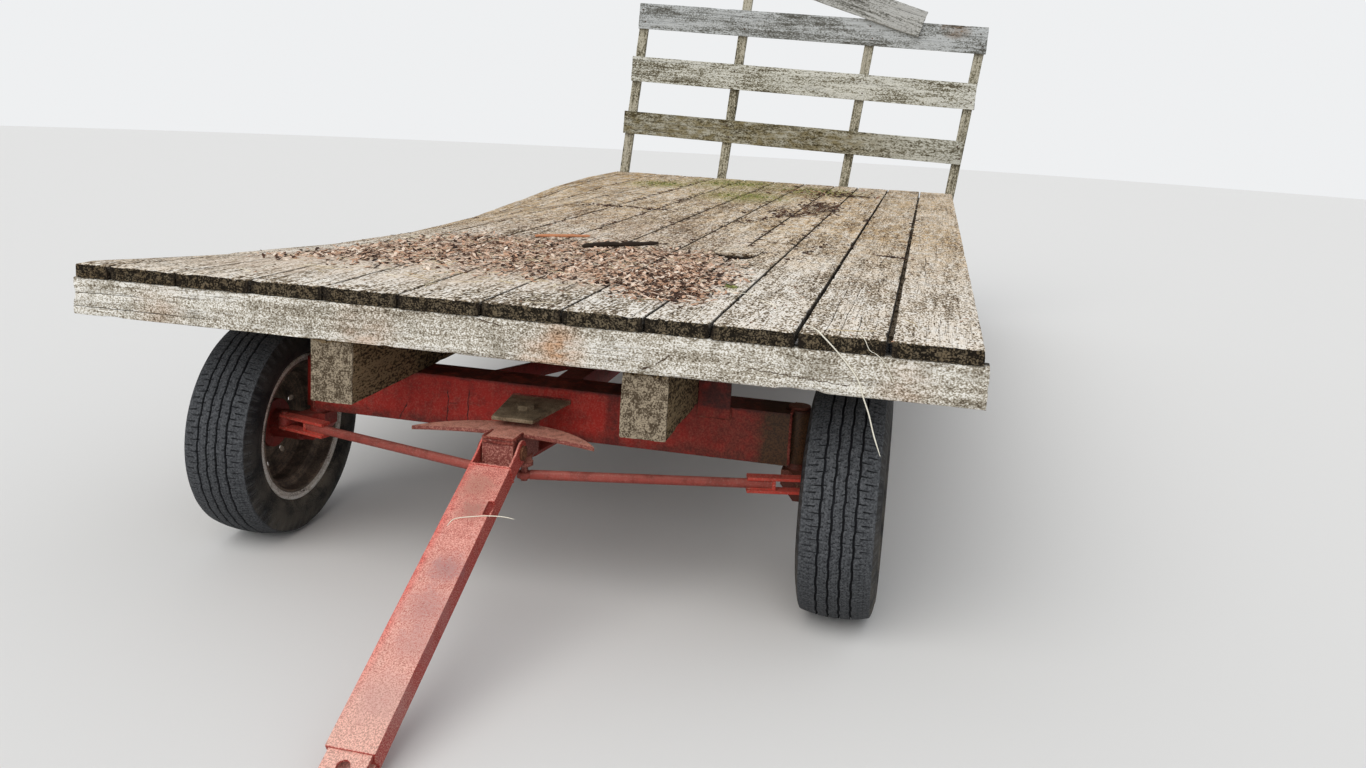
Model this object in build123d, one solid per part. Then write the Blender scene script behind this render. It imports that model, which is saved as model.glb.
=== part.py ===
from build123d import *
import os
from math import asin, atan2, copysign, cos, degrees, hypot, pi, radians, sin, tan

# Flat-deck farm hay wagon on a four-wheel running gear, in millimetres.
# +Z is up, the wagon's front is towards -Y, its right side (seen in the direction of view +Y) is +X.
# The origin lies on the ground, under the middle of the overall length and width.

# Deck and its timbers
DECK_LENGTH = 5100.0
PLANK_THICKNESS = 36.0
PLANK_GAP = 4.5
BEAM_TOP_Z = 800.0        # top of the cross beams, where the planks lie
HEADER_LENGTH = 2312.0
BEAM_HEIGHT = 100.0
BEAM_THICKNESS = 50.0
INNER_BEAMS = 7
SILL_WIDTH = 116.0
SILL_HEIGHT = 161.0
SILL_SETBACK = 14.0
SILL_LEFT_X = -424.0
SILL_RIGHT_X = 382.0
# planks from the right edge to the left: width, front end ahead of the header, rear end past the beam
PLANKS = (
    (205.0, 4.0, 0.0),
    (201.0, 2.0, -3.0),
    (193.0, 6.0, -8.0),
    (152.0, 1.0, -2.0),
    (195.0, 5.0, 0.0),
    (199.0, 2.0, -9.0),
    (208.0, 7.0, -4.0),
    (197.0, 3.0, 0.0),
    (195.0, 0.0, -11.0),
    (205.0, 5.0, -5.0),
    (190.0, 2.0, -1.0),
    (95.0, 6.0, -7.0),
)
SOUND_PLANKS = 9          # the planks left of these have sunk with the cracked beam ends
# sunken left edge of the deck: drop at its outer edge above each inner beam, front to rear
EDGE_DROPS = (52.0, 92.0, 112.0, 104.0, 68.0, 26.0, 4.0)

# Rear rack
STAKE_WIDTH = 62.0
STAKE_THICKNESS = 38.0
RAIL_THICKNESS = 25.0
STAKE_FOOT_DROP = 10.0    # the stakes reach below the rear header
# stakes from left to right: name, x at the deck's top, lean to the right in degrees, rise above the deck
STAKES = (
    ("rack_stake_1", -1093.0, 5.4, 1139.0),
    ("rack_stake_2", -402.0, 5.3, 1454.0),
    ("rack_stake_3", 430.0, 6.2, 1174.0),
    ("rack_stake_4", 1128.0, 6.6, 1044.0),
)
# rails from the lowest up: name, left end x, right end x, middle above the deck, board width
RAILS = (
    ("rack_rail_low", -1105.0, 1183.0, 309.0, 155.0),
    ("rack_rail_mid", -1066.0, 1237.0, 676.0, 170.0),
    ("rack_rail_top", -1030.0, 1278.0, 1033.0, 172.0),
)
RAIL_TILT = 1.9           # the rails run down to the right
LOOSE_BOARD_LENGTH = 1420.0
LOOSE_BOARD_WIDTH = 172.0
LOOSE_BOARD_TILT = 17.0
LOOSE_BOARD_END = (868.0, 1076.0)    # x and height above the deck of its right end's middle

# Wheels
TYRE_RADIUS = 322.0
TYRE_WIDTH = 205.0
BEAD_RADIUS = 191.0
RIM_HALF_WIDTH = 76.0
FLANGE_HEIGHT = 17.0
RIM_SHEET = 5.0
TRACK = 1690.0
FRONT_AXLE_Y = 448.0      # behind the deck's front edge
WHEELBASE = 3300.0
LUG_CIRCLE_RADIUS = 57.15
LUG_COUNT = 5
LUG_HOLE_RADIUS = 8.0
STUD_RADIUS = 6.5
STUD_REACH = 27.0
NUT_RADIUS = 11.5
NUT_HEIGHT = 14.0
VENT_COUNT = 10
VENT_RADIUS = 9.0
VENT_CIRCLE_RADIUS = 133.0
# pressed disc from the hub outwards: rise above the mounting face, radius
DISC_PROFILE = ((0.0, 82.0), (20.0, 112.0), (24.0, 124.0), (16.0, 140.0))
WELL_DEPTH = 19.0
BEAD_SEAT_RISE = 4.0
BEAD_WIDTH = 14.0
TYRE_WALL = 8.0
TREAD_DEPTH = 15.0
HUB_FLANGE_RADIUS = 72.0
HUB_FLANGE_THICKNESS = 12.0
HUB_BARREL_RADIUS = 38.0
CAP_RADIUS = 28.0
CAP_LENGTH = 15.0
DISC_FACE = 15.0          # mounting face of the disc, outboard of the wheel's middle plane
SPINDLE_ROOT_RADIUS = 24.0
SPINDLE_TIP_RADIUS = 18.0
RUNNING_CLEARANCE = 0.05

# Axle beams
AXLE_DEPTH = 120.0
AXLE_HEIGHT = 143.0
AXLE_WALL = 8.0
KINGPIN_INSET = 140.0     # from the wheel's middle plane to the kingpin
KINGPIN_RADIUS = 20.0
SLEEVE_RADIUS = 36.0
BEAM_END_LAP = 15.0       # from the beam's end to the kingpin
KNUCKLE_HALF = 35.0
KNUCKLE_DROP = 28.0       # from the wheel's axis down to the knuckle's lower face
KNUCKLE_CUT_WIDTH = 36.0  # its inner lower corner is cut back
KNUCKLE_CUT_RISE = 44.0
SPINDLE_INNER = 88.0      # from the wheel's middle plane in to the hub's inner end
SPINDLE_STEP = 45.0
SPINDLE_COLLAR = 9.0
BOLSTER_STAKE_WIDTH = 88.0
BOLSTER_STAKE_PLATE = 8.0
BOLSTER_STAKE_RISE = 112.0
BOLSTER_STAKE_LAP = 31.0
BOLSTER_STAKE_LEG = 80.0

# Steering
STEER_PIVOT_Y = 262.0
PIN_OFFSET_X = 45.0       # tie rod pins, sideways from the pivot and from each kingpin
ARM_LENGTH = 115.0        # tie rod pins, ahead of the pivot and of each kingpin
ARM_ROOT = 32.0           # half width of the knuckle's arm at its root and at its tip
ARM_TIP = 16.0
TIE_ROD_Z = 370.0
TIE_ROD_RADIUS = 12.5
EYE_RADIUS = 19.0
EYE_THICKNESS = 14.0
TIE_PIN_RADIUS = 9.0
YOKE_PRONG = 8.0          # thickness of each of the yoke's two straps
YOKE_WIDTH = 33.0
YOKE_LENGTH = 158.0
YOKE_LAP = 64.0           # the rod runs this far in between the straps
YOKE_SPACER = 10.0
YOKE_SLACK = 1.0          # above and below the arm's eye, between the straps
WELD_ROOT = 0.5           # between the rod and each strap
WELD_HALF_WIDTH = 9.0
BOLT_TAIL = 6.0
PIVOT_BOLT_RADIUS = 15.0
PIVOT_HEAD_RADIUS = 25.0
PIVOT_HEAD_HEIGHT = 13.0
PIVOT_TUBE_RADIUS = 30.0
PLATE_THICKNESS = 10.0
CRESCENT_Z = 470.0
CRESCENT_TIP_X = 243.0
CRESCENT_TIP_Y = 95.0
CRESCENT_FRONT_Y = 136.0
CRESCENT_REAR_Y = 225.0
NECK_HALF_WIDTH = 60.0
NECK_LAP = 30.0           # the neck and the head's roof run this far under the crescent
LUG_MARGIN = 12.0
BRACKET_TOP_Z = 498.0
BRACKET_FRONT_Y = 165.0
BRACKET_TIP_HALF = 56.0   # half widths of the bracket's upper plate, at its tip and at the beam
BRACKET_ROOT_HALF = 85.0
LOW_TIP_HALF = 40.0       # the same for its lower plate, which runs back under the beam
LOW_ROOT_HALF = 70.0
LOW_PLATE_LAP = 100.0
SEAT_GAP = 0.3

# Tongue
HINGE_Y = 105.0
HINGE_Z = 440.0
HINGE_PIN_RADIUS = 12.0
PIN_TAIL = 9.0
PIN_COLLAR = 7.0
HEAD_HALF_WIDTH = 41.0
HEAD_FRONT_Y = 72.0
HEAD_WALL = 9.0
TONGUE_WIDTH = 106.0
TONGUE_DEPTH = 51.0
TONGUE_WALL = 6.0
TONGUE_MOUTH = 78.0       # open fork between the hinge pin and the closed tube
TONGUE_LENGTH = 905.0     # hinge pin to the tongue's end
CHEEK_RADIUS = 32.0
CHEEK_TAPER = 38.0
TORN_CORNER_AT = 188.0    # torn right top corner of the tube, from the hinge pin
TORN_CORNER_LENGTH = 42.0
TORN_CORNER_WIDTH = 15.0
TORN_CORNER_DEPTH = 13.0
HITCH_SETBACK = 34.0      # hitch hole's middle to the tongue's end
HITCH_HOLE_RADIUS = 14.0
HITCH_MOUTH = 65.0        # open fork between the two straps, ahead of the tube's end
STRAP_THICKNESS = 7.0     # straps welded inside the tube's upper and lower walls
STRAP_LENGTH = 150.0
END_PLATE = 8.0

# Reach
REACH_SIZE = 76.0
REACH_WALL = 6.0
REACH_Z = 467.0
SLEEVE_LENGTH = 520.0
SLEEVE_WALL = 7.0
REACH_SLACK = 1.0         # between the reach and its sleeve
REACH_END_GAP = 60.0      # the reach ends this far ahead of the rear beam
REACH_PIN_RADIUS = 12.0
REACH_PIN_SETBACK = 312.0
HOUND_FOOT = 14.0         # width of a brace's foot on the beam
HOUND_HEEL = 28.0         # length of its welded end on the reach
HOUND_HEIGHT = 50.0
HOUND_SPREAD = 320.0
HOUND_REACH = 640.0

# Places that follow from the sizes above
strap_face = TONGUE_DEPTH / 2 - TONGUE_WALL
strap_half = TONGUE_WIDTH / 2 - TONGUE_WALL - SEAT_GAP
yoke_gap = 2 * (TIE_ROD_RADIUS + WELD_ROOT)
tongue_drop = degrees(asin(HINGE_Z / hypot(TONGUE_LENGTH, strap_face)) - atan2(strap_face, TONGUE_LENGTH))
rear_reach = DECK_LENGTH + STAKE_THICKNESS
front_reach = TONGUE_LENGTH * cos(radians(tongue_drop)) + strap_face * sin(radians(tongue_drop)) - HINGE_Y
FRONT = -(rear_reach - front_reach) / 2
deck_width = sum(row[0] for row in PLANKS) + PLANK_GAP * (len(PLANKS) - 1)
deck_half = deck_width / 2
deck_top = BEAM_TOP_Z + PLANK_THICKNESS
beam_bottom = BEAM_TOP_Z - BEAM_HEIGHT
axle_top = beam_bottom - SILL_HEIGHT
axle_bottom = axle_top - AXLE_HEIGHT
front_axle = FRONT + FRONT_AXLE_Y
rear_axle = front_axle + WHEELBASE
pivot_y = FRONT + STEER_PIVOT_Y
wheel_x = TRACK / 2
kingpin_x = wheel_x - KINGPIN_INSET
axle_half = kingpin_x - BEAM_END_LAP
sleeve_top = axle_top + 2
knuckle_top = TIE_ROD_Z + EYE_THICKNESS / 2
knuckle_bottom = TYRE_RADIUS - KNUCKLE_DROP
top_rail = RAILS[-1]
rack_reach = (top_rail[1] + top_rail[2]) / 2 + (top_rail[2] - top_rail[1]) / 2
rack_reach += top_rail[4] / 2 * sin(radians(RAIL_TILT))
middle_x = (rack_reach - HEADER_LENGTH / 2) / 2


def block(x_range, y_range, z_range):
    """A box between two values on each axis."""
    size = [high - low for low, high in (x_range, y_range, z_range)]
    middle = [(high + low) / 2 for low, high in (x_range, y_range, z_range)]
    return Pos(*middle) * Box(*size)


def post(x, y, z_low, z_high, radius):
    """An upright round bar."""
    return Pos(x, y, (z_low + z_high) / 2) * Cylinder(radius, z_high - z_low)


def cross_bar(y, z, x_low, x_high, radius):
    """A round bar along X."""
    return Pos((x_low + x_high) / 2, y, z) * Rot(Y=90) * Cylinder(radius, x_high - x_low)


def plate(points, z_low, z_high):
    """A flat plate from its outline in plan."""
    outline = make_face(Polyline(*points, close=True))
    return Pos(0, 0, z_low) * extrude(outline, z_high - z_low)


def save(name, shape):
    """Write a piece, moved so that the origin is under the middle of the overall width."""
    export_step(Pos(-middle_x, 0, 0) * shape, os.path.join("parts", name + ".step"))


# Beams: distance of each beam's middle from the deck's front edge
pitch = (DECK_LENGTH - BEAM_THICKNESS) / (INNER_BEAMS + 1)
beam_middles = [BEAM_THICKNESS / 2 + pitch * (index + 1) for index in range(INNER_BEAMS)]

# Plank edges from right to left: (left x, right x)
plank_edges = []
edge = deck_half
for plank in PLANKS:
    plank_edges.append((edge - plank[0], edge))
    edge -= plank[0] + PLANK_GAP
bend_x = plank_edges[SOUND_PLANKS - 1][0] - PLANK_GAP / 2

# Stations along the deck where the drop changes
drop_stations = [(0.0, 0.0), (BEAM_THICKNESS, 0.0)]
for middle, drop in zip(beam_middles, EDGE_DROPS):
    drop_stations += [(middle - BEAM_THICKNESS / 2, drop), (middle + BEAM_THICKNESS / 2, drop)]
drop_stations += [(DECK_LENGTH - BEAM_THICKNESS, 0.0), (DECK_LENGTH, 0.0)]


def drop_share(x):
    """Share of the edge's drop that a point at x has."""
    return max(0.0, (bend_x - x) / (bend_x + deck_half))


def sunken_side(x, start, end):
    """Side outline of a sunken plank at x, upright in the plane across X."""
    share = drop_share(x)
    stations = [(start, 0.0)] + drop_stations[1:-1] + [(end, 0.0)]
    low = [(FRONT + y, BEAM_TOP_Z - share * drop) for y, drop in stations]
    high = [(y, z + PLANK_THICKNESS) for y, z in reversed(low)]
    return make_face(Polyline(*[(x, y, z) for y, z in low + high], close=True))


def deck_planks():
    for index, ((_, front_lap, rear_lap), (left, right)) in enumerate(zip(PLANKS, plank_edges)):
        start = -front_lap
        end = DECK_LENGTH + rear_lap
        if index < SOUND_PLANKS:
            plank = block((left, right), (FRONT + start, FRONT + end), (BEAM_TOP_Z, deck_top))
        else:
            sides = [sunken_side(left, start, end), sunken_side(right, start, end)]
            plank = loft(sides, ruled=True)
        save(f"plank_{index + 1:02d}", plank)


def inner_beam(middle, drop):
    """A cross beam whose cracked left end hangs lower outside the sill."""
    outline = [
        (deck_half, beam_bottom),
        (deck_half, BEAM_TOP_Z),
        (bend_x, BEAM_TOP_Z),
        (-deck_half, BEAM_TOP_Z - drop),
        (-deck_half, beam_bottom - drop),
        (bend_x, beam_bottom),
    ]
    back = FRONT + middle + BEAM_THICKNESS / 2
    face = make_face(Polyline(*[(x, back, z) for x, z in outline], close=True))
    return extrude(face, BEAM_THICKNESS, dir=(0, -1, 0))


def deck_frame():
    half = HEADER_LENGTH / 2
    heights = (beam_bottom, BEAM_TOP_Z)
    save("front_header", block((-half, half), (FRONT, FRONT + BEAM_THICKNESS), heights))
    rear = FRONT + DECK_LENGTH
    save("rear_header", block((-deck_half, deck_half), (rear - BEAM_THICKNESS, rear), heights))
    beams = [inner_beam(middle, drop) for middle, drop in zip(beam_middles, EDGE_DROPS)]
    save("cross_beams", Part() + beams)
    for name, x in (("sill_left", SILL_LEFT_X), ("sill_right", SILL_RIGHT_X)):
        across = (x - SILL_WIDTH / 2, x + SILL_WIDTH / 2)
        along = (FRONT + SILL_SETBACK, FRONT + DECK_LENGTH)
        save(name, block(across, along, (axle_top, beam_bottom)))


def rear_rack():
    back = FRONT + DECK_LENGTH
    foot_z = beam_bottom - STAKE_FOOT_DROP
    foot_depth = deck_top - foot_z
    for name, x, lean, rise in STAKES:
        length = (foot_depth + rise) / cos(radians(lean))
        bar = Pos(0, STAKE_THICKNESS / 2, length / 2) * Box(STAKE_WIDTH, STAKE_THICKNESS, length)
        save(name, Pos(x - foot_depth * tan(radians(lean)), back, foot_z) * Rot(Y=lean) * bar)
    for name, left, right, middle, width in RAILS:
        length = (right - left) / cos(radians(RAIL_TILT))
        centre_z = deck_top + middle - (left + right) / 2 * sin(radians(RAIL_TILT))
        board = Box(length, RAIL_THICKNESS, width)
        save(name, Pos((left + right) / 2, back - RAIL_THICKNESS / 2, centre_z) * Rot(Y=RAIL_TILT) * board)
    board = Pos(-LOOSE_BOARD_LENGTH / 2, 0, 0) * Box(LOOSE_BOARD_LENGTH, RAIL_THICKNESS, LOOSE_BOARD_WIDTH)
    x, rise = LOOSE_BOARD_END
    place = Pos(x, back - 1.5 * RAIL_THICKNESS, deck_top + rise) * Rot(Y=LOOSE_BOARD_TILT)
    save("rack_loose_board", place * board)


def box_tube(x_range, y_range, z_range, wall, axis):
    """A hollow rectangular tube, open at both ends along the axis."""
    ranges = [x_range, y_range, z_range]
    inner = [(low + wall, high - wall) for low, high in ranges]
    inner[axis] = ranges[axis]
    return block(*ranges) - block(*inner)


def bolster_stake(side, sill_edge, axle_y):
    """Angle iron beside the sill: one leg on the beam's face, one along the sill."""
    outer = sill_edge + side * BOLSTER_STAKE_WIDTH
    across = sorted((sill_edge, outer))
    face = axle_y - AXLE_DEPTH / 2
    top = axle_top + BOLSTER_STAKE_RISE
    front_leg = block(across, (face - BOLSTER_STAKE_PLATE, face), (axle_top - BOLSTER_STAKE_LAP, top))
    leg_x = sorted((sill_edge, sill_edge + side * BOLSTER_STAKE_PLATE))
    side_leg = block(leg_x, (face - BOLSTER_STAKE_PLATE, face + BOLSTER_STAKE_LEG), (axle_top, top))
    return front_leg + side_leg


def axle_beam(axle_y):
    """Welded box beam with its end plates and the stakes that hold the sills."""
    half = axle_half
    y_range = (axle_y - AXLE_DEPTH / 2, axle_y + AXLE_DEPTH / 2)
    z_range = (axle_bottom, axle_top)
    beam = box_tube((-half, half), y_range, z_range, AXLE_WALL, 0)
    for side in (-1, 1):
        beam += block(sorted((side * half, side * (half - AXLE_WALL))), y_range, z_range)
    beam += bolster_stake(-1, SILL_LEFT_X - SILL_WIDTH / 2, axle_y)
    beam += bolster_stake(1, SILL_RIGHT_X + SILL_WIDTH / 2, axle_y)
    return beam


def drop_block(side, axle_y, top):
    """Block below the beam's end that carries the stub axle, its inner lower corner cut back."""
    inner = side * (kingpin_x - KNUCKLE_HALF)
    outer = side * (kingpin_x + KNUCKLE_HALF)
    outline = [(inner, top), (inner, knuckle_bottom + KNUCKLE_CUT_RISE),
               (inner + side * KNUCKLE_CUT_WIDTH, knuckle_bottom), (outer, knuckle_bottom), (outer, top)]
    back = axle_y + KNUCKLE_HALF
    face = make_face(Polyline(*[(x, back, z) for x, z in outline], close=True))
    return extrude(face, 2 * KNUCKLE_HALF, dir=(0, -1, 0))


def spindle(side, axle_y):
    """Stepped stub axle that carries a wheel, with the collar that it runs against."""
    root = kingpin_x + KNUCKLE_HALF
    inner = wheel_x - SPINDLE_INNER
    step = wheel_x - SPINDLE_STEP
    tip = wheel_x + SPINDLE_STEP
    parts = []
    for low, high, radius in (
        (root, inner - SEAT_GAP, SPINDLE_ROOT_RADIUS + SPINDLE_COLLAR),
        (root, step, SPINDLE_ROOT_RADIUS),
        (step, tip, SPINDLE_TIP_RADIUS),
    ):
        ends = sorted((side * low, side * high))
        parts.append(cross_bar(axle_y, TYRE_RADIUS, ends[0], ends[1], radius))
    return parts


def front_axle_beam():
    beam = axle_beam(front_axle)
    for side in (-1, 1):
        beam += post(side * kingpin_x, front_axle, axle_bottom, sleeve_top, SLEEVE_RADIUS)
    bore = KINGPIN_RADIUS + RUNNING_CLEARANCE
    for side in (-1, 1):
        beam -= post(side * kingpin_x, front_axle, axle_bottom - 10, sleeve_top + 10, bore)
    save("front_axle_beam", beam)


def rear_axle_beam():
    beam = axle_beam(rear_axle)
    for side in (-1, 1):
        beam += drop_block(side, rear_axle, sleeve_top)
        for part in spindle(side, rear_axle):
            beam += part
    save("rear_axle_beam", beam)


def knuckle(side):
    """Steering knuckle: block with its kingpin, collar and cap, steering arm, arm bolt and stub axle."""
    x = side * kingpin_x
    y = front_axle
    body = drop_block(side, y, knuckle_top)
    pin = post(x, y, knuckle_top, sleeve_top + 7, KINGPIN_RADIUS)
    collar = post(x, y, knuckle_top, axle_bottom - SEAT_GAP, KINGPIN_RADIUS + 8)
    cap = post(x, y, sleeve_top + SEAT_GAP, sleeve_top + 8, KINGPIN_RADIUS + 9)
    pin_x = x + side * PIN_OFFSET_X
    pin_y = y - ARM_LENGTH
    z_low = TIE_ROD_Z - EYE_THICKNESS / 2
    arm = plate([(x - side * ARM_ROOT, y), (x + side * ARM_ROOT, y), (pin_x + side * ARM_TIP, pin_y + 4),
                 (pin_x - side * ARM_TIP, pin_y - 4)], z_low, knuckle_top)
    eye_half = yoke_gap / 2 - YOKE_SLACK
    arm += post(pin_x, pin_y, TIE_ROD_Z - eye_half, TIE_ROD_Z + eye_half, ARM_TIP + 1)
    reach = yoke_gap / 2 + YOKE_PRONG + BOLT_TAIL
    bolt = post(pin_x, pin_y, TIE_ROD_Z - reach, TIE_ROD_Z + reach, TIE_PIN_RADIUS)
    shape = body + pin + collar + cap + arm + bolt
    for part in spindle(side, y):
        shape += part
    return shape


def tie_rod(side):
    """Rod from the steering head's pin and its yoke of two straps, built along X and turned into place."""
    run_x = kingpin_x
    run_y = FRONT_AXLE_Y - STEER_PIVOT_Y
    length = hypot(run_x, run_y)
    turn = degrees(atan2(run_y, side * run_x))
    start = Pos(side * PIN_OFFSET_X, pivot_y - ARM_LENGTH, TIE_ROD_Z) * Rot(Z=turn)
    strap_start = length - YOKE_LENGTH
    rod_end = strap_start + YOKE_LAP
    rod = cross_bar(0, 0, EYE_RADIUS - 4, rod_end, TIE_ROD_RADIUS)
    eye = Cylinder(EYE_RADIUS, EYE_THICKNESS)
    bore = TIE_PIN_RADIUS + RUNNING_CLEARANCE
    rod = rod + eye - Cylinder(bore, EYE_THICKNESS * 2)
    half = yoke_gap / 2 + YOKE_PRONG
    between = (-yoke_gap / 2, yoke_gap / 2)
    yoke = block((rod_end, rod_end + YOKE_SPACER), (-TIE_ROD_RADIUS, TIE_ROD_RADIUS), between)
    yoke += block((strap_start, rod_end), (-WELD_HALF_WIDTH, WELD_HALF_WIDTH), between)
    for low in (-half, yoke_gap / 2):
        yoke += block((strap_start, length), (-YOKE_WIDTH / 2, YOKE_WIDTH / 2), (low, low + YOKE_PRONG))
        yoke += post(length, 0, low, low + YOKE_PRONG, YOKE_WIDTH / 2)
    yoke -= Pos(length, 0, 0) * Cylinder(bore, half * 4)
    return start * rod, start * (yoke - cross_bar(0, 0, strap_start - 1, rod_end, TIE_ROD_RADIUS))


def steering_head():
    """Crescent plate, pivot tube, hinge box and tie rod lugs, welded to one turning piece."""
    y = FRONT
    tips = (CRESCENT_TIP_X, y + CRESCENT_TIP_Y)
    front_edge = ThreePointArc((-tips[0], tips[1]), (0, y + CRESCENT_FRONT_Y), tips)
    rear_edge = ThreePointArc(tips, (0, y + CRESCENT_REAR_Y), (-tips[0], tips[1]))
    crescent = extrude(make_face([front_edge, rear_edge]), PLATE_THICKNESS)
    head = Pos(0, 0, CRESCENT_Z) * crescent
    neck_y = y + CRESCENT_REAR_Y - NECK_LAP
    neck = [(-NECK_HALF_WIDTH, neck_y), (NECK_HALF_WIDTH, neck_y), (PIVOT_TUBE_RADIUS, pivot_y),
            (-PIVOT_TUBE_RADIUS, pivot_y)]
    head += plate(neck, CRESCENT_Z, CRESCENT_Z + PLATE_THICKNESS)
    lug_low = axle_bottom + SEAT_GAP
    lug_high = lug_low + PLATE_THICKNESS
    head += post(0, pivot_y, lug_low, BRACKET_TOP_Z - SEAT_GAP, PIVOT_TUBE_RADIUS)
    front = y + HEAD_FRONT_Y
    head_top = CRESCENT_Z + PLATE_THICKNESS
    for side in (-1, 1):
        across = sorted((side * HEAD_HALF_WIDTH, side * (HEAD_HALF_WIDTH - HEAD_WALL)))
        head += block(across, (front, pivot_y), (lug_low, head_top))
    wide = (-HEAD_HALF_WIDTH, HEAD_HALF_WIDTH)
    head += block(wide, (front, front + HEAD_WALL), (lug_low, head_top))
    head += block(wide, (front, neck_y), (CRESCENT_Z, head_top))
    pin_y = pivot_y - ARM_LENGTH
    lug_half = PIN_OFFSET_X + EYE_RADIUS
    lug = [(-lug_half, pin_y - LUG_MARGIN), (lug_half, pin_y - LUG_MARGIN), (PIVOT_TUBE_RADIUS, pivot_y),
           (-PIVOT_TUBE_RADIUS, pivot_y)]
    head += plate(lug, lug_low, lug_high)
    for side in (-1, 1):
        x = side * PIN_OFFSET_X
        head += post(x, pin_y, lug_low, lug_high, EYE_RADIUS + 3)
        head += post(x, pin_y, TIE_ROD_Z - EYE_THICKNESS / 2 - 8, lug_low, TIE_PIN_RADIUS)
    head -= post(0, pivot_y, lug_low - 1, BRACKET_TOP_Z, PIVOT_BOLT_RADIUS + RUNNING_CLEARANCE)
    pin_bore = HINGE_PIN_RADIUS + RUNNING_CLEARANCE
    head -= cross_bar(y + HINGE_Y, HINGE_Z, -HEAD_HALF_WIDTH - 1, HEAD_HALF_WIDTH + 1, pin_bore)
    save("steering_head", head)


def steering_bracket():
    """Upper and lower plates that stand ahead of the front beam and hold the pivot bolt."""
    face = front_axle - AXLE_DEPTH / 2
    tip_y = FRONT + BRACKET_FRONT_Y
    head_z = BRACKET_TOP_Z + PLATE_THICKNESS
    top = plate([(-BRACKET_TIP_HALF, tip_y), (BRACKET_TIP_HALF, tip_y), (BRACKET_ROOT_HALF, face),
                 (-BRACKET_ROOT_HALF, face)], BRACKET_TOP_Z, head_z)
    low_face = axle_bottom - PLATE_THICKNESS
    low_end = face + LOW_PLATE_LAP
    low = plate([(-LOW_TIP_HALF, pivot_y), (LOW_TIP_HALF, pivot_y), (LOW_ROOT_HALF, low_end),
                 (-LOW_ROOT_HALF, low_end)], low_face, axle_bottom)
    low += post(0, pivot_y, low_face, axle_bottom, LOW_TIP_HALF)
    for shape, name in ((top, "bracket_top_plate"), (low, "bracket_low_plate")):
        hole = post(0, pivot_y, low_face - 1, head_z + 1, PIVOT_BOLT_RADIUS + RUNNING_CLEARANCE)
        save(name, shape - hole)
    nut_low = low_face - PIVOT_HEAD_HEIGHT
    bolt = post(0, pivot_y, nut_low - PIVOT_HEAD_HEIGHT, head_z, PIVOT_BOLT_RADIUS)
    hexagon = extrude(RegularPolygon(PIVOT_HEAD_RADIUS, 6), PIVOT_HEAD_HEIGHT)
    bolt += Pos(0, pivot_y, head_z) * hexagon
    bolt += Pos(0, pivot_y, nut_low) * hexagon
    save("pivot_bolt", bolt)


def cheek(outer_x):
    """Fork plate of the tongue, from the tube's mouth to a round end about the hinge pin."""
    deep = TONGUE_DEPTH / 2
    outline = Polyline((0, -TONGUE_MOUTH, -deep), (0, -CHEEK_TAPER, -deep), (0, 0, -CHEEK_RADIUS),
                       (0, 0, CHEEK_RADIUS), (0, -CHEEK_TAPER, deep), (0, -TONGUE_MOUTH, deep), close=True)
    low = min(outer_x, outer_x - copysign(TONGUE_WALL, outer_x))
    side = Pos(low, 0, 0) * extrude(make_face(outline), TONGUE_WALL, dir=(1, 0, 0))
    return side + cross_bar(0, 0, low, low + TONGUE_WALL, CHEEK_RADIUS)


def tongue_parts():
    """Drawbar built level, pointing ahead from its hinge pin, then lowered to the ground."""
    place = Pos(0, FRONT + HINGE_Y, HINGE_Z) * Rot(X=tongue_drop)
    half = TONGUE_WIDTH / 2
    deep = TONGUE_DEPTH / 2
    hitch_end = -TONGUE_LENGTH
    tube_end = hitch_end + HITCH_MOUTH
    gap = strap_face - STRAP_THICKNESS
    tube = box_tube((-half, half), (tube_end, -TONGUE_MOUTH), (-deep, deep), TONGUE_WALL, 1)
    tube += block((-half, half), (tube_end, tube_end + END_PLATE), (-gap, gap))
    tube += cheek(-half)
    tube += cheek(half)
    tube -= cross_bar(0, 0, -half - 1, half + 1, HINGE_PIN_RADIUS + RUNNING_CLEARANCE)
    tube -= block((half - TORN_CORNER_WIDTH, half + 1), (-TORN_CORNER_AT - TORN_CORNER_LENGTH, -TORN_CORNER_AT),
                  (deep - TORN_CORNER_DEPTH, deep + 1))
    save("tongue", place * tube)
    hole = post(0, hitch_end + HITCH_SETBACK, -deep, deep, HITCH_HOLE_RADIUS)
    for name, low in (("hitch_strap_top", gap), ("hitch_strap_low", -strap_face)):
        strap = block((-strap_half, strap_half), (hitch_end, hitch_end + STRAP_LENGTH),
                      (low, low + STRAP_THICKNESS))
        save(name, place * (strap - hole))
    pin = cross_bar(0, 0, -half - PIN_TAIL, half + PIN_TAIL, HINGE_PIN_RADIUS)
    for side in (-1, 1):
        ends = sorted((side * half, side * (half + PIN_COLLAR)))
        pin += cross_bar(0, 0, ends[0], ends[1], HINGE_PIN_RADIUS + PIN_COLLAR)
    save("tongue_pin", place * pin)


def hound(side, beam_face, tube_half, end):
    """Flat brace from the beam's face to the side of the reach or its sleeve."""
    near = side * tube_half
    far = side * HOUND_SPREAD
    heel = copysign(HOUND_HEEL, end - beam_face)
    points = [(far, beam_face), (far + side * HOUND_FOOT, beam_face), (near, end + heel), (near, end)]
    return plate(points, REACH_Z - HOUND_HEIGHT / 2, REACH_Z + HOUND_HEIGHT / 2)


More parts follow.
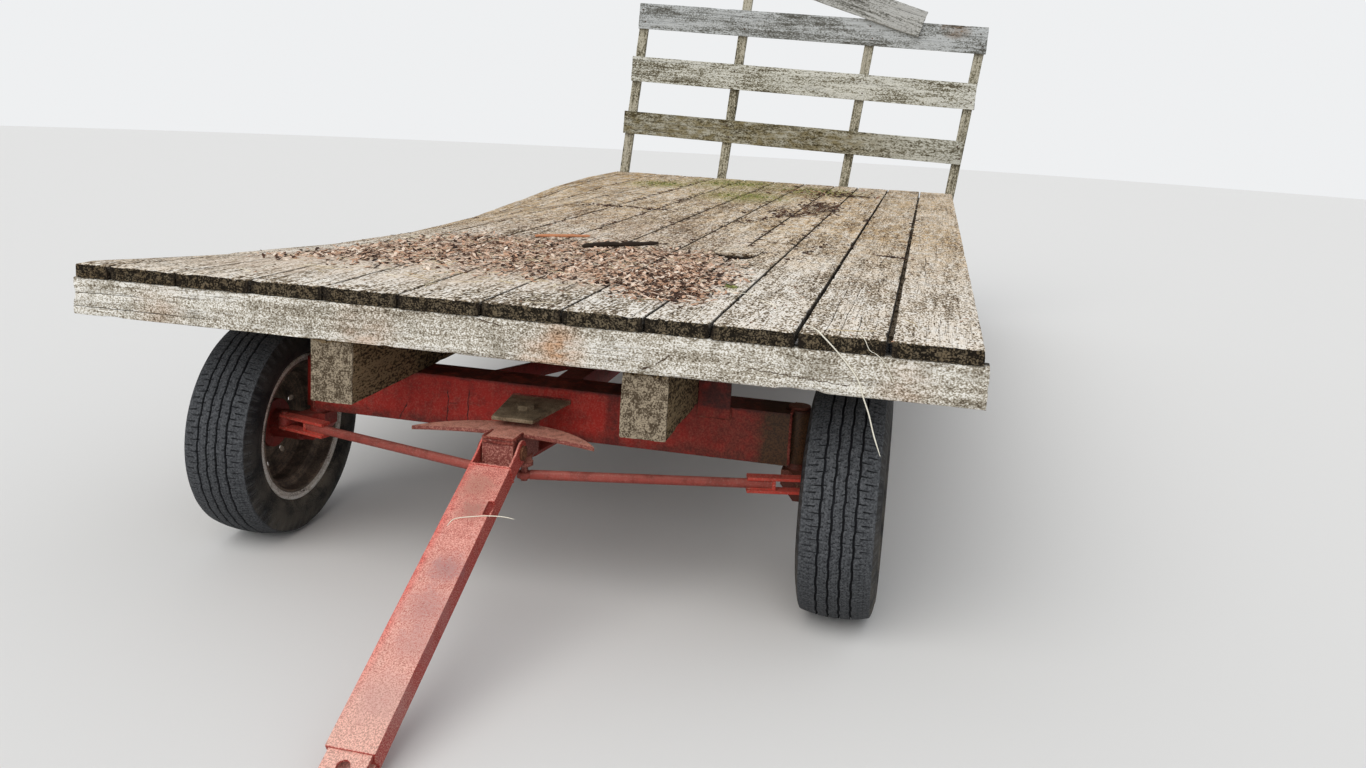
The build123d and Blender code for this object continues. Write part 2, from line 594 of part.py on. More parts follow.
def reach():
    """Square reach tube from the front beam into its sleeve, with the braces of both beams."""
    half = REACH_SIZE / 2
    outer = half + REACH_SLACK + SLEEVE_WALL
    front_face = front_axle + AXLE_DEPTH / 2
    rear_face = rear_axle - AXLE_DEPTH / 2
    save("reach_pole", box_tube((-half, half), (front_face, rear_face - REACH_END_GAP),
                                (REACH_Z - half, REACH_Z + half), REACH_WALL, 1))
    sleeve = box_tube((-outer, outer), (rear_face - SLEEVE_LENGTH, rear_face),
                      (REACH_Z - outer, REACH_Z + outer), SLEEVE_WALL, 1)
    pin_y = rear_face - REACH_PIN_SETBACK
    save("reach_sleeve", sleeve - post(0, pin_y, REACH_Z - outer - 1, REACH_Z + outer + 1, REACH_PIN_RADIUS))
    for name, beam_face, tube_half, end in (
        ("front_hounds", front_face, half, front_face + HOUND_REACH),
        ("rear_hounds", rear_face, outer, rear_face - SLEEVE_LENGTH + HOUND_HEEL),
    ):
        save(name, Part() + [hound(side, beam_face, tube_half, end) for side in (-1, 1)])


def wheel_axis(name, shape, side, axle_y):
    """Place a turned wheel piece, whose +X is outboard, at its hub."""
    turn = 0 if side > 0 else 180
    save(name, Pos(side * wheel_x, axle_y, TYRE_RADIUS) * Rot(Z=turn) * shape)


def around(count, radius, offset):
    """Evenly spaced points on a circle, from the top, turned by a share of the spacing."""
    angles = [2 * pi * (index + offset) / count for index in range(count)]
    return [(radius * cos(angle), radius * sin(angle)) for angle in angles]


def turned(points):
    """A solid of revolution about X from (x, radius) points."""
    return revolve(make_face(Polyline(*points, close=True)), Axis.X)


def tyre():
    """Carcass and tread as a hollow ring whose beads sit between the rim's flanges."""
    seat = RIM_HALF_WIDTH - SEAT_GAP
    wide = TYRE_WIDTH / 2
    bead = BEAD_RADIUS + BEAD_SEAT_RISE + SEAT_GAP
    over_flange = BEAD_RADIUS + FLANGE_HEIGHT + 2
    widest = bead + (TYRE_RADIUS - bead) * 0.47
    shoulder = (wide - 14, TYRE_RADIUS - 12)
    outer = [
        Line((-seat, bead), (-seat, over_flange)),
        ThreePointArc((-seat, over_flange), (-wide + 4, widest - 24), (-wide, widest)),
        ThreePointArc((-wide, widest), (-wide + 3, widest + 34), (-shoulder[0], shoulder[1])),
        ThreePointArc((-shoulder[0], shoulder[1]), (0, TYRE_RADIUS), shoulder),
        ThreePointArc(shoulder, (wide - 3, widest + 34), (wide, widest)),
        ThreePointArc((wide, widest), (wide - 4, widest - 24), (seat, over_flange)),
        Line((seat, over_flange), (seat, bead)),
    ]
    toe = seat - BEAD_WIDTH
    half = [(toe, bead), (toe, over_flange), (wide - TYRE_WALL, widest),
            (shoulder[0] - TYRE_WALL, shoulder[1] - TREAD_DEPTH)]
    inner = Polyline((seat, bead), *half, *[(-x, radius) for x, radius in reversed(half)], (-seat, bead))
    return revolve(make_face(outer + [inner]), Axis.X)


def rim():
    """Steel wheel: drop-centre barrel with flanges, and the pressed disc inside it."""
    flange = BEAD_RADIUS + FLANGE_HEIGHT
    seat = RIM_HALF_WIDTH
    lip = seat + RIM_SHEET + 1
    well = BEAD_RADIUS - WELL_DEPTH
    inner_well = well - RIM_SHEET
    bead = BEAD_RADIUS + BEAD_SEAT_RISE
    barrel = turned([
        (-lip, flange), (-seat, flange), (-seat, bead), (-46, BEAD_RADIUS), (-32, well), (14, well),
        (30, BEAD_RADIUS), (seat, bead), (seat, flange), (lip, flange), (lip, flange - RIM_SHEET),
        (lip - 1, BEAD_RADIUS - 1), (33, BEAD_RADIUS - RIM_SHEET), (17, inner_well), (-35, inner_well),
        (-49, BEAD_RADIUS - RIM_SHEET), (-lip + 1, BEAD_RADIUS - 1), (-lip, flange - RIM_SHEET),
    ])
    bore = HUB_BARREL_RADIUS + 0.5
    crown = [(DISC_FACE + rise + RIM_SHEET, radius) for rise, radius in DISC_PROFILE]
    crown = [(crown[0][0], bore)] + crown + [(DISC_FACE - 2, inner_well + 2)]
    back = [(x - RIM_SHEET, radius) for x, radius in reversed(crown)]
    disc = turned(crown + back)
    for y, z in around(LUG_COUNT, LUG_CIRCLE_RADIUS, 0):
        disc -= cross_bar(y, z, DISC_FACE - 1, DISC_FACE + RIM_SHEET + 1, LUG_HOLE_RADIUS)
    for y, z in around(VENT_COUNT, VENT_CIRCLE_RADIUS, 0.5):
        disc -= cross_bar(y, z, DISC_FACE - 10, DISC_FACE + 50, VENT_RADIUS)
    return barrel + disc


def hub():
    """Turned hub with its flange, studs, nuts and grease cap."""
    root = SPINDLE_ROOT_RADIUS + RUNNING_CLEARANCE
    tip = SPINDLE_TIP_RADIUS + RUNNING_CLEARANCE
    face = DISC_FACE
    barrel = HUB_BARREL_RADIUS + 4
    flange_back = face - HUB_FLANGE_THICKNESS
    step = -SPINDLE_STEP + 0.5
    cap_end = SPINDLE_STEP + CAP_LENGTH
    body = turned([
        (-SPINDLE_INNER, root), (-SPINDLE_INNER, barrel), (flange_back, barrel), (flange_back, HUB_FLANGE_RADIUS),
        (face, HUB_FLANGE_RADIUS), (face, HUB_BARREL_RADIUS), (SPINDLE_STEP - 1, HUB_BARREL_RADIUS - 3),
        (SPINDLE_STEP + 1, CAP_RADIUS), (cap_end - 2, CAP_RADIUS - 4), (cap_end, 0.0), (cap_end - 5, 0.0),
        (cap_end - 10, tip), (step, tip), (step, root),
    ])
    for y, z in around(LUG_COUNT, LUG_CIRCLE_RADIUS, 0):
        body += cross_bar(y, z, face - 6, face + STUD_REACH, STUD_RADIUS)
        nut = extrude(RegularPolygon(NUT_RADIUS, 6), NUT_HEIGHT)
        body += Pos(face + RIM_SHEET, y, z) * Rot(Y=90) * nut
    return body


def wheels():
    tyre_shape = tyre()
    rim_shape = rim()
    hub_shape = hub()
    for corner, side, axle_y in (
        ("fl", -1, front_axle), ("fr", 1, front_axle), ("rl", -1, rear_axle), ("rr", 1, rear_axle),
    ):
        wheel_axis(f"tyre_{corner}", tyre_shape, side, axle_y)
        wheel_axis(f"rim_{corner}", rim_shape, side, axle_y)
        wheel_axis(f"hub_{corner}", hub_shape, side, axle_y)


def main():
    os.makedirs("parts", exist_ok=True)
    deck_planks()
    deck_frame()
    rear_rack()
    front_axle_beam()
    rear_axle_beam()
    reach()
    steering_bracket()
    steering_head()
    tongue_parts()
    for side, letter in ((-1, "l"), (1, "r")):
        save(f"knuckle_{letter}", knuckle(side))
        rod, yoke = tie_rod(side)
        save(f"tie_rod_{letter}", rod)
        save(f"rod_yoke_{letter}", yoke)
    wheels()


main()
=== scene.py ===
from math import ceil, cos, pi, radians, sin, tan

import bpy
import numpy as np
from mathutils import Matrix, Vector
from mathutils.bvhtree import BVHTree


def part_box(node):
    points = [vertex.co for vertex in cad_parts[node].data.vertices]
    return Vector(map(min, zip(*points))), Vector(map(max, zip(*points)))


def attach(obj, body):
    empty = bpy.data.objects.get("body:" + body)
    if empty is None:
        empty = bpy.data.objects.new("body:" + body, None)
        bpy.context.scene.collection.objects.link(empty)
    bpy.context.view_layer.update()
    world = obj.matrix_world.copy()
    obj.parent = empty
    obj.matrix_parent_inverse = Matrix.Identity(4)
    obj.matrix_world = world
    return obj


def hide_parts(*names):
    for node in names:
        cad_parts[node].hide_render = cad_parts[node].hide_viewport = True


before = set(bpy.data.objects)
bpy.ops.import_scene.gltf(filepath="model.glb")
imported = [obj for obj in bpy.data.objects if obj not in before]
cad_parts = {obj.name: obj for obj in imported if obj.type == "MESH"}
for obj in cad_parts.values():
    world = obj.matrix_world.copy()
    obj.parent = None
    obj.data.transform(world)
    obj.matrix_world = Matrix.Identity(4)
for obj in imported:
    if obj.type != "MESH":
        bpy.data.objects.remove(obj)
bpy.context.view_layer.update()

# Places are given in millimetres from the deck's middle line, its front edge and the ground.
header_low, header_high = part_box("front_header")
CENTRE_X = (header_low.x + header_high.x) / 2
FRONT_Y = header_low.y
DECK_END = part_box("rear_header")[1].y - FRONT_Y
PLANKS = 12
PLANK_BOXES = [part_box(f"plank_{number:02d}") for number in range(1, PLANKS + 1)]
PLANK_THICKNESS = 0.036
DECK_TOP = PLANK_BOXES[0][1].z
DECK_HALF = CENTRE_X - PLANK_BOXES[-1][0].x
BEAM_THICKNESS = 0.05
BEAM_HEIGHT = 0.1
BEND_X = PLANK_BOXES[8][0].x - 0.00225
EDGE_DROPS = (0.052, 0.092, 0.112, 0.104, 0.068, 0.026, 0.004)
BEAM_PITCH = (DECK_END - BEAM_THICKNESS) / (len(EDGE_DROPS) + 1)
BEAM_PLACES = [BEAM_THICKNESS / 2 + BEAM_PITCH * (index + 1) for index in range(len(EDGE_DROPS))]
AXLE_TOP = 0.539
AXLE_LOW = 0.396
AXLE_FACE = 388
TONGUE_FACE = 25.5
TYRE_RADIUS = 0.322
FRONT_AXLE = sum(corner.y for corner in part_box("hub_fl")) / 2
REAR_AXLE = sum(corner.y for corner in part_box("hub_rl")) / 2


def at(x, y, z):
    return Vector((x / 1000 + CENTRE_X, y / 1000 + FRONT_Y, z / 1000))


HINGE_PIN = at(0, 105, 440)
TONGUE_SLOPE = radians(27.85)
TONGUE_PLACE = Matrix.Translation(HINGE_PIN) @ Matrix.Rotation(TONGUE_SLOPE, 4, "X")


def on_tongue(x, y, z):
    """A place in millimetres from the hinge pin, along the lowered tongue."""
    return tuple(TONGUE_PLACE @ Vector((x / 1000, y / 1000, z / 1000)))


def millimetres(points):
    """X and Y of places in metres, in millimetres from the deck's middle line and front edge."""
    return (points[:, 0] - CENTRE_X) * 1000, (points[:, 1] - FRONT_Y) * 1000


def metres(x, y):
    return np.stack([x / 1000 + CENTRE_X, y / 1000 + FRONT_Y], -1)


def shown(name, data):
    """A new object in the scene."""
    item = bpy.data.objects.new(name, data)
    bpy.context.scene.collection.objects.link(item)
    return item


# Camera: solved from the photograph's measured corners
camera_data = bpy.data.cameras.new("camera")
camera = shown("camera", camera_data)
right = (0.97457162, 0.21750238, 0.05387837)
up = (-0.08443767, 0.13374762, 0.98741169)
back = (0.20755829, -0.96685277, 0.14871203)
axes = Matrix((right, up, back)).transposed().to_4x4()
camera.matrix_world = Matrix.Translation(at(990.763, -2462.320, 1327.583)) @ axes
camera_data.sensor_width = 36.0
camera_data.lens = 29.51
camera_data.shift_y = -0.08187
bpy.context.scene.camera = camera
bpy.context.scene.view_settings.view_transform = "Standard"


# Colours and node graphs
def srgb(colour):
    """Linear colour from 0 to 255 display values."""
    parts = [value / 255 for value in colour]
    linear = [part / 12.92 if part <= 0.04045 else ((part + 0.055) / 1.055) ** 2.4 for part in parts]
    return (*linear, 1.0)


class Value:
    """A node's output, which can be added to, subtracted from and multiplied."""

    def __init__(self, graph, socket):
        self.graph = graph
        self.socket = socket

    def __add__(self, other):
        return self.graph.math("ADD", self, other)

    def __sub__(self, other):
        return self.graph.math("SUBTRACT", self, other)

    def __mul__(self, other):
        return self.graph.math("MULTIPLY", self, other)


class Graph:
    """The nodes of a material or the world. Each method adds a node and returns its output.

    Colours are 0 to 255 display values, or four linear values.
    """

    def __init__(self, owner, shader):
        owner.use_nodes = True
        self.owner = owner
        self.tree = owner.node_tree
        self.shader = self.tree.nodes[shader]

    def put(self, value, socket):
        if isinstance(value, Value):
            self.tree.links.new(value.socket, socket)
        elif socket.type == "RGBA" and len(value) == 3:
            socket.default_value = srgb(value)
        else:
            socket.default_value = value

    def node(self, kind, inputs=None, output=0, **settings):
        node = self.tree.nodes.new("ShaderNode" + kind)
        for key, value in settings.items():
            setattr(node, key, value)
        for key, value in (inputs or {}).items():
            self.put(value, node.inputs[key])
        return Value(self, node.outputs[output])

    def part(self, vector, axis):
        return self.node("SeparateXYZ", {0: vector}, axis)

    def attribute(self, name, output="Fac"):
        return self.node("Attribute", output=output, attribute_name=name)

    def vector(self, operation, first, second=(0.0, 0.0, 0.0), output="Vector"):
        return self.node("VectorMath", {0: first, 1: second}, output, operation=operation)

    def noise(self, vector, scale, detail=4.0, rough=0.55, twist=0.0):
        """Noise from 0 to 1; three scales stretch it along the axes."""
        if isinstance(scale, tuple):
            vector, scale = self.vector("MULTIPLY", vector, scale), 1.0
        return self.node("TexNoise", {"Vector": vector, "Scale": scale, "Detail": detail, "Roughness": rough,
                                      "Distortion": twist}, "Fac")

    def math(self, operation, first, second=0.0, clamp=False):
        return self.node("Math", {0: first, 1: second}, operation=operation, use_clamp=clamp)

    def step(self, value, low, high, bottom=0.0, top=1.0):
        """Smooth rise from bottom to top as value goes from low to high."""
        return self.node("MapRange", {"Value": value, "From Min": low, "From Max": high, "To Min": bottom,
                                      "To Max": top}, "Result", interpolation_type="SMOOTHSTEP")

    def ramp(self, value, *stops):
        result = self.node("ValToRGB", {"Fac": value}, "Color")
        elements = result.socket.node.color_ramp.elements
        while len(elements) < len(stops):
            elements.new(0.5)
        for element, (place, colour) in zip(elements, stops):
            element.position = place
            element.color = srgb(colour)
        return result

    def mix(self, share, first, second, blend="MIX"):
        return self.node("Mix", {0: share, 6: first, 7: second}, 2, data_type="RGBA", blend_type=blend)

    def edges(self, radius, low, high):
        """1 along the outside edges of a shape, 0 on its flats."""
        rounded = self.node("Bevel", {"Radius": radius}, "Normal", samples=4)
        flat = self.node("NewGeometry", output="True Normal")
        return self.step(self.vector("DOT_PRODUCT", rounded, flat, "Value"), high, low)

    def seen(self, *others):
        """1 where the camera sees a background, straight or by the other kinds of ray named."""
        total = self.node("LightPath", output="Is Camera Ray")
        for kind in others:
            total = self.math("MAXIMUM", total, self.node("LightPath", output=f"Is {kind} Ray"))
        return total


class Surface(Graph):
    """The nodes of one material."""

    def __init__(self, name, roughness, specular=0.3):
        super().__init__(bpy.data.materials.new(name), "Principled BSDF")
        self.put(roughness, self.shader.inputs["Roughness"])
        self.put(specular, self.shader.inputs["Specular IOR Level"])
        self.place = self.node("TexCoord", output="Object")

    def segment(self, start, end, width):
        """1 close to a line between two X, Z places in millimetres, on a face across Y."""
        first = at(start[0], 0, start[1])
        run = at(end[0], 0, end[1]) - first
        half = run.length / 2
        along = run.normalized()
        away = self.vector("SUBTRACT", self.place, (first.x, 0.0, first.z))
        reach = self.vector("DOT_PRODUCT", away, tuple(along), "Value")
        aside = self.vector("DOT_PRODUCT", away, (-along.z, 0.0, along.x), "Value")
        aside = self.math("ABSOLUTE", aside + (self.noise(self.place, 60.0, 2.0) - 0.5) * 0.012)
        near = self.step(self.math("ABSOLUTE", reach - half), half, half - 0.012)
        return self.step(aside, width * 0.0014, width * 0.0006) * near

    def finish(self, colour, bump, strength, distance, roughness=None):
        """The material, with its colour, the height of its bumps and perhaps its roughness."""
        bumps = self.node("Bump", {"Strength": strength, "Distance": distance, "Height": bump}, "Normal")
        self.put(bumps, self.shader.inputs["Normal"])
        self.put(colour, self.shader.inputs["Base Color"])
        if roughness:
            self.put(roughness, self.shader.inputs["Roughness"])
        return self.owner


# Materials
def wood(name, tones, crack, ends, stain_tone=(172, 138, 106), speckle=1.0, coarse=1.0, along=84, dust=False,
         lines=(), stops=(0.425, 0.457, 0.492, 0.518), end_steps=(0.47, 0.60), mottle=0.0):
    """Bare weathered timber whose grain follows the attribute of its board.

    The tones run from its pits over dark and middle to light; ends holds the end grain's dark and light.
    Each line is a narrow open check on a face across Y, from one X, Z place to another.
    """
    g = Surface(name, 0.92, 0.12)
    grain = g.attribute("grain", "Vector")
    specks = g.noise(grain, (190 / coarse, along / coarse, 190 / coarse), 1.5, 0.5)
    flecks = g.noise(grain, (82 / coarse, along * 0.4 / coarse, 82 / coarse), 3.0, 0.65)
    strands = g.noise(grain, (70, 4, 70), 5.0, 0.62, 0.4)
    broad = g.noise(grain, (9, 2.2, 9), 5.0, 0.6)
    rest = 1 - 0.62 * speckle
    value = (specks * (0.38 * speckle) + flecks * (0.24 * speckle) + strands * (0.45 * rest)
             + broad * (0.55 * rest) + g.attribute("shade") * 0.03)
    colour = g.ramp(value, *zip(stops, tones))
    if mottle:
        clouds = g.step(g.noise(g.place, 15.0, 5.0, 0.65), 0.50, 0.66, 0.0, mottle)
        colour = g.mix(clouds, colour, (150, 142, 124), "MULTIPLY")
    hairs = g.math("ABSOLUTE", g.noise(grain, (210, 2.6, 210), 2.0, 0.45) - 0.5)
    hair = g.step(hairs, 0.018, 0.004) * g.step(broad, 0.42, 0.60, 0.15, 1.0)
    colour = g.mix(hair * 0.7, colour, crack)
    grit = g.step(specks * 0.5 + flecks * 0.5, 0.42, 0.58)
    coarse_noise = g.noise(g.place, 46.0, 3.0, 0.6)
    end_grit = g.step(g.noise(g.place, 230.0, 2.0, 0.6) * 0.6 + coarse_noise * 0.4, *end_steps)
    rough_end = g.attribute("end") + (coarse_noise - 0.5) * 1.6
    colour = g.mix(g.step(rough_end, 0.35, 0.60), colour, g.mix(end_grit, *ends))
    patches = g.step(g.noise(grain, (34, 14, 34), 6.0, 0.65), 0.34, 0.62, 0.3, 1.0)
    colour = g.mix(g.attribute("stain") * patches, colour, stain_tone, "MULTIPLY")
    if dust:
        litter = g.ramp(g.noise(grain, (150, 110, 150), 2.5, 0.6), (0.42, (52, 36, 26)), (0.47, (134, 98, 74)),
                        (0.53, (200, 158, 130)), (0.59, (244, 216, 190)))
        colour = g.mix(g.attribute("litter") * g.step(flecks, 0.40, 0.52, 0.25, 1.0), colour, litter)
        pale = g.attribute("pale") * g.step(strands, 0.40, 0.56, 0.2, 0.9)
        colour = g.mix(pale, colour, g.mix(grit, (206, 186, 164), (232, 216, 198)))
    moss = g.attribute("moss") * g.step(g.noise(grain, (60, 30, 60), 6.0), 0.34, 0.54) * 0.9
    colour = g.mix(moss, colour, g.mix(grit, (114, 106, 48), (180, 172, 106)))
    for line in lines:
        colour = g.mix(g.segment(*line), colour, crack)
    # The crack attribute darkens open cracks. It also carries painted shade between the planks, on the header
    # under them and under the deck's lifted layer.
    colour = g.mix(g.attribute("crack"), colour, (32, 26, 21))
    return g.finish(colour, value + hair * -0.4, 0.6, 0.0024)


deck_wood = wood("deck_wood", ((62, 50, 38), (140, 127, 108), (178, 166, 146), (252, 248, 240)), (60, 50, 42),
                 ((31, 27, 21), (118, 107, 88)), (218, 188, 144), dust=True)
header_wood = wood("header_wood", ((98, 88, 74), (158, 148, 131), (202, 195, 180), (250, 247, 239)),
                   (80, 66, 54), ((120, 108, 94), (206, 196, 180)), (214, 160, 112), coarse=0.62, along=130,
                   stops=(0.400, 0.452, 0.498, 0.545), mottle=0.5,
                   lines=(((370, 712), (402, 722), 2.2), ((402, 722), (447, 756), 1.4),
                          ((-40, 792), (30, 783), 1.2), ((620, 742), (860, 724), 0.9)))
sill_wood = wood("sill_wood", ((46, 36, 26), (76, 62, 44), (112, 94, 68), (150, 130, 100)), (40, 30, 22),
                 ((80, 68, 54), (170, 156, 134)), end_steps=(0.42, 0.60))
beam_wood = wood("beam_wood", ((52, 42, 32), (88, 76, 60), (128, 114, 96), (166, 152, 134)), (44, 34, 26),
                 ((70, 58, 44), (146, 130, 110)))
rail_low_wood = wood("rail_low_wood", ((80, 74, 60), (122, 117, 100), (158, 156, 142), (196, 195, 184)),
                     (48, 40, 31), ((70, 58, 44), (130, 116, 94)), (180, 168, 138), speckle=0.8)
rail_mid_wood = wood("rail_mid_wood", ((84, 77, 62), (128, 122, 104), (170, 168, 154), (214, 213, 203)),
                     (66, 58, 46), ((100, 90, 74), (160, 150, 132)), speckle=0.8)
rail_top_wood = wood("rail_top_wood", ((88, 86, 80), (124, 125, 121), (154, 156, 154), (192, 195, 195)),
                     (66, 64, 60), ((100, 94, 86), (166, 162, 154)), speckle=0.7)
loose_wood = wood("loose_wood", ((86, 84, 78), (122, 122, 116), (152, 151, 145), (190, 190, 186)), (60, 58, 54),
                  ((100, 94, 86), (166, 162, 154)), speckle=0.6)
stake_wood = wood("stake_wood", ((74, 69, 56), (114, 108, 90), (148, 142, 122), (188, 182, 164)), (60, 54, 43),
                  ((90, 82, 62), (150, 142, 118)), speckle=0.8)


def red_paint(name, deep, faded, top_fade, rust=0.3, specks=0.3, streak=0.0, bands=(), lines=(), blotch=0.45,
              worn_edge=0.8, grain=1.1, top_bands=(), smudges=(), fine_scale=230.0):
    """Old red paint: chalky where it faces up, worn along its edges, speckled and rusty.

    Each band is an axis, where along it the band starts, is full and perhaps ends, its tone and strength.
    The top bands lie only on what faces up. Each smudge is a place, its size, tone and strength.
    Each line is a narrow seam on a face across Y, from one X, Z place to another, in millimetres.
    """
    g = Surface(name, 0.62)
    broad = g.noise(g.place, 7.0, 5.0, 0.6)
    middle = g.noise(g.place, 38.0, 6.0, 0.65)
    fine = g.noise(g.place, fine_scale, 3.0, 0.6)
    upward = g.part(g.node("TexCoord", output="Normal"), "Z")
    chalk = g.step(broad * 0.6 + middle * 0.4, 0.38, 0.62) * 0.22
    fade = g.math("MAXIMUM", g.step(upward, 0.2, 0.8) * top_fade, chalk)
    if streak:
        runs = g.noise(g.place, (60, 60, 7), 4.0, 0.6)
        fade = g.math("ADD", fade, g.step(runs, 0.50, 0.68) * streak, clamp=True)
    fade = g.math("ADD", fade, (fine - 0.5) * grain, clamp=True)
    colour = g.mix(fade, deep, faded)
    colour = g.mix(g.step(middle, 0.44, 0.66, 0.0, blotch), colour, (150, 112, 104), "MULTIPLY")
    on_top = g.step(upward, 0.5, 0.8)
    pale = g.step(fine, 0.56, 0.68) * g.step(broad * 0.4 + middle * 0.6, 0.40, 0.60) * specks
    colour = g.mix(pale * (on_top * 0.7 + 0.3), colour, (236, 206, 196))
    patches = g.step(broad * 0.45 + middle * 0.55, 0.68 - 0.16 * rust, 0.74 - 0.16 * rust)
    worn = g.edges(0.004, 0.90, 0.995) * g.step(fine, 0.40, 0.58)
    bare = g.math("MAXIMUM", patches, worn * worn_edge)
    rusty = g.ramp(fine * 0.5 + middle * 0.5, (0.36, (66, 44, 36)), (0.5, (112, 66, 44)),
                   (0.62, (158, 118, 92)))
    colour = g.mix(bare * 0.8, colour, rusty)
    grit = g.step(fine, 0.38, 0.62)
    breaks = g.step(middle * 0.6 + broad * 0.4, 0.34, 0.58, 0.45, 1.0)
    for group, faces_up, dark, light in ((bands, False, 0.72, 1.12), (top_bands, True, 0.82, 1.10)):
        for axis, places, tone, strength in group:
            along = g.part(g.place, axis)
            share = g.step(along, places[0], places[1])
            if len(places) == 4:
                share = share * g.step(along, places[3], places[2])
            share = share * breaks * strength
            if faces_up:
                share = share * on_top
            tones = [[min(255, value * change) for value in tone] for change in (dark, light)]
            colour = g.mix(g.math("MINIMUM", share, 1.0), colour, g.mix(grit, *tones))
    for spot, size, tone, strength in smudges:
        away = g.vector("LENGTH", g.vector("SUBTRACT", g.place, spot), output="Value")
        away = away + (middle - 0.5) * (size * 1.8)
        share = g.step(away, size * 1.15, size * 0.1) * g.step(fine, 0.40, 0.56, 0.4, 1.0) * strength
        colour = g.mix(share, colour, tone)
    for line in lines:
        colour = g.mix(g.segment(*line), colour, (58, 22, 18))
    height = bare * -0.6 + fine * 0.35 + middle * 0.3
    return g.finish(colour, height, 0.6, 0.0011, g.step(bare, 0.0, 1.0, 0.55, 0.88))


beam_red = red_paint("beam_red", (180, 40, 30), (206, 112, 96), 0.6, 0.3, 0.15, streak=0.16, grain=1.4, bands=(
    ("Z", (AXLE_LOW + 0.040, AXLE_LOW + 0.006), (92, 46, 38), 0.8),
    ("X", (CENTRE_X + 0.20, CENTRE_X + 0.56), (112, 54, 42), 0.75),
    ("X", (CENTRE_X + 0.175, CENTRE_X + 0.195, CENTRE_X + 0.215, CENTRE_X + 0.235), (84, 34, 28), 0.8),
    ("X", (CENTRE_X + 0.585, CENTRE_X + 0.655), (84, 58, 38), 1.9),
    # Painted shade: this band darkens the beam's top edge, where the deck above shades it.
    ("Z", (AXLE_TOP - 0.012, AXLE_TOP + 0.001), (70, 32, 27), 0.9),
), lines=(((-277, 400), (-275, 505), 1.3), ((-215, 400), (-213, 512), 1.6), ((-277, 462), (-240, 462), 1.2),
          ((-424, 396), (-396, 452), 1.4)))
gear_red = red_paint("gear_red", (142, 42, 34), (176, 106, 94), 0.5, 0.5, 0.3)
head_red = red_paint("head_red", (126, 62, 55), (228, 160, 140), 0.9, 0.3, 0.7, grain=2.4)
tongue_red = red_paint(
    "tongue_red", (172, 42, 35), (240, 184, 168), 0.70, 0.06, 0.8, blotch=0.25, worn_edge=0.35, grain=3.2,
    fine_scale=330.0,
    bands=(("Y", (FRONT_Y - 0.35, FRONT_Y + 0.02), (200, 74, 60), 0.4),),
    top_bands=(("X", (CENTRE_X - 0.030, CENTRE_X - 0.052), (220, 96, 86), 0.8),
               ("Y", (FRONT_Y - 0.33, FRONT_Y - 0.70), (226, 176, 160), 1.1)),
    smudges=[(on_tongue(x, y, TONGUE_FACE), size, tone, strength) for x, y, size, tone, strength in (
        (-6, -150, 0.060, (176, 128, 112), 0.8), (10, -225, 0.045, (160, 116, 104), 0.8),
        (16, -397, 0.055, (150, 118, 120), 0.7), (16, -503, 0.070, (176, 134, 130), 0.7),
        (27, -591, 0.060, (186, 144, 138), 0.6), (14, -728, 0.080, (196, 156, 148), 0.6))])
rod_red = red_paint("rod_red", (158, 72, 62), (178, 112, 100), 0.5, 0.35, 0.3)
yoke_red = red_paint("yoke_red", (190, 62, 50), (214, 120, 104), 0.4, 0.4, 0.5, grain=2.0)
knuckle_brown = red_paint("knuckle_brown", (104, 50, 38), (132, 88, 70), 0.5, 0.8, 0.2)
# Darker red for the bent-in torn flap: painted shade.
shaded_flap_red = red_paint("shaded_flap_red", (116, 34, 28), (150, 60, 50), 0.5, 0.4, 0.2)
hub_red = red_paint("hub_red", (140, 44, 36), (160, 100, 86), 0.4, 0.5, 0.3)


def bare_steel(name, dark, middle, light, roughness=0.85):
    """Rusty unpainted steel."""
    g = Surface(name, roughness)
    broad = g.noise(g.place, 24.0, 5.0, 0.6)
    fine = g.noise(g.place, 260.0, 4.0, 0.65)
    colour = g.ramp(broad * 0.5 + fine * 0.5, (0.38, dark), (0.5, middle), (0.62, light))
    return g.finish(colour, fine + broad * 0.4, 0.6, 0.0009)


olive_steel = bare_steel("olive_steel", (82, 70, 54), (122, 106, 84), (158, 142, 118))
rust_steel = bare_steel("rust_steel", (58, 36, 28), (104, 64, 44), (150, 104, 76))
nail_steel = bare_steel("nail_steel", (44, 32, 28), (74, 54, 44), (104, 80, 64))
weld_steel = bare_steel("weld_steel", (84, 34, 28), (126, 56, 46), (160, 96, 82))
flange_pale = bare_steel("flange_pale", (140, 126, 112), (214, 208, 198), (242, 240, 236), 0.7)


def rubber(name):
    """Old tyre rubber: grey on the tread's ribs, dark in its grooves, dusty low on the sides."""
    g = Surface(name, 0.78, 0.2)
    broad = g.noise(g.place, 14.0, 5.0, 0.6)
    fine = g.noise(g.place, 300.0, 4.0, 0.6)
    grit = g.noise(g.place, 170.0, 3.0, 0.65)
    rib = g.attribute("rib")
    dark = g.ramp(broad, (0.35, (17, 18, 21)), (0.65, (30, 31, 36)))
    ribs = g.ramp(fine * 0.4 + grit * 0.6, (0.36, (38, 40, 43)), (0.47, (70, 72, 75)), (0.62, (100, 102, 105)))
    colour = g.mix(rib, dark, ribs)
    along = (g.math("FRACT", g.attribute("around") * 3.0) - 0.5) * 0.0112
    across = g.math("ABSOLUTE", g.attribute("across")) - 0.0060
    spot = g.math("SQRT", g.math("POWER", along, 2.0) + g.math("POWER", across, 2.0))
    pits = g.step(spot, 0.0026, 0.0012) * g.step(grit, 0.40, 0.50) * rib * 0.85
    colour = g.mix(pits, colour, (20, 21, 24))
    dust = g.attribute("dust") * g.step(broad * 0.6 + fine * 0.4, 0.36, 0.62)
    return g.finish(g.mix(dust, colour, (128, 120, 106)), fine + broad * 0.5, 0.35, 0.0008)


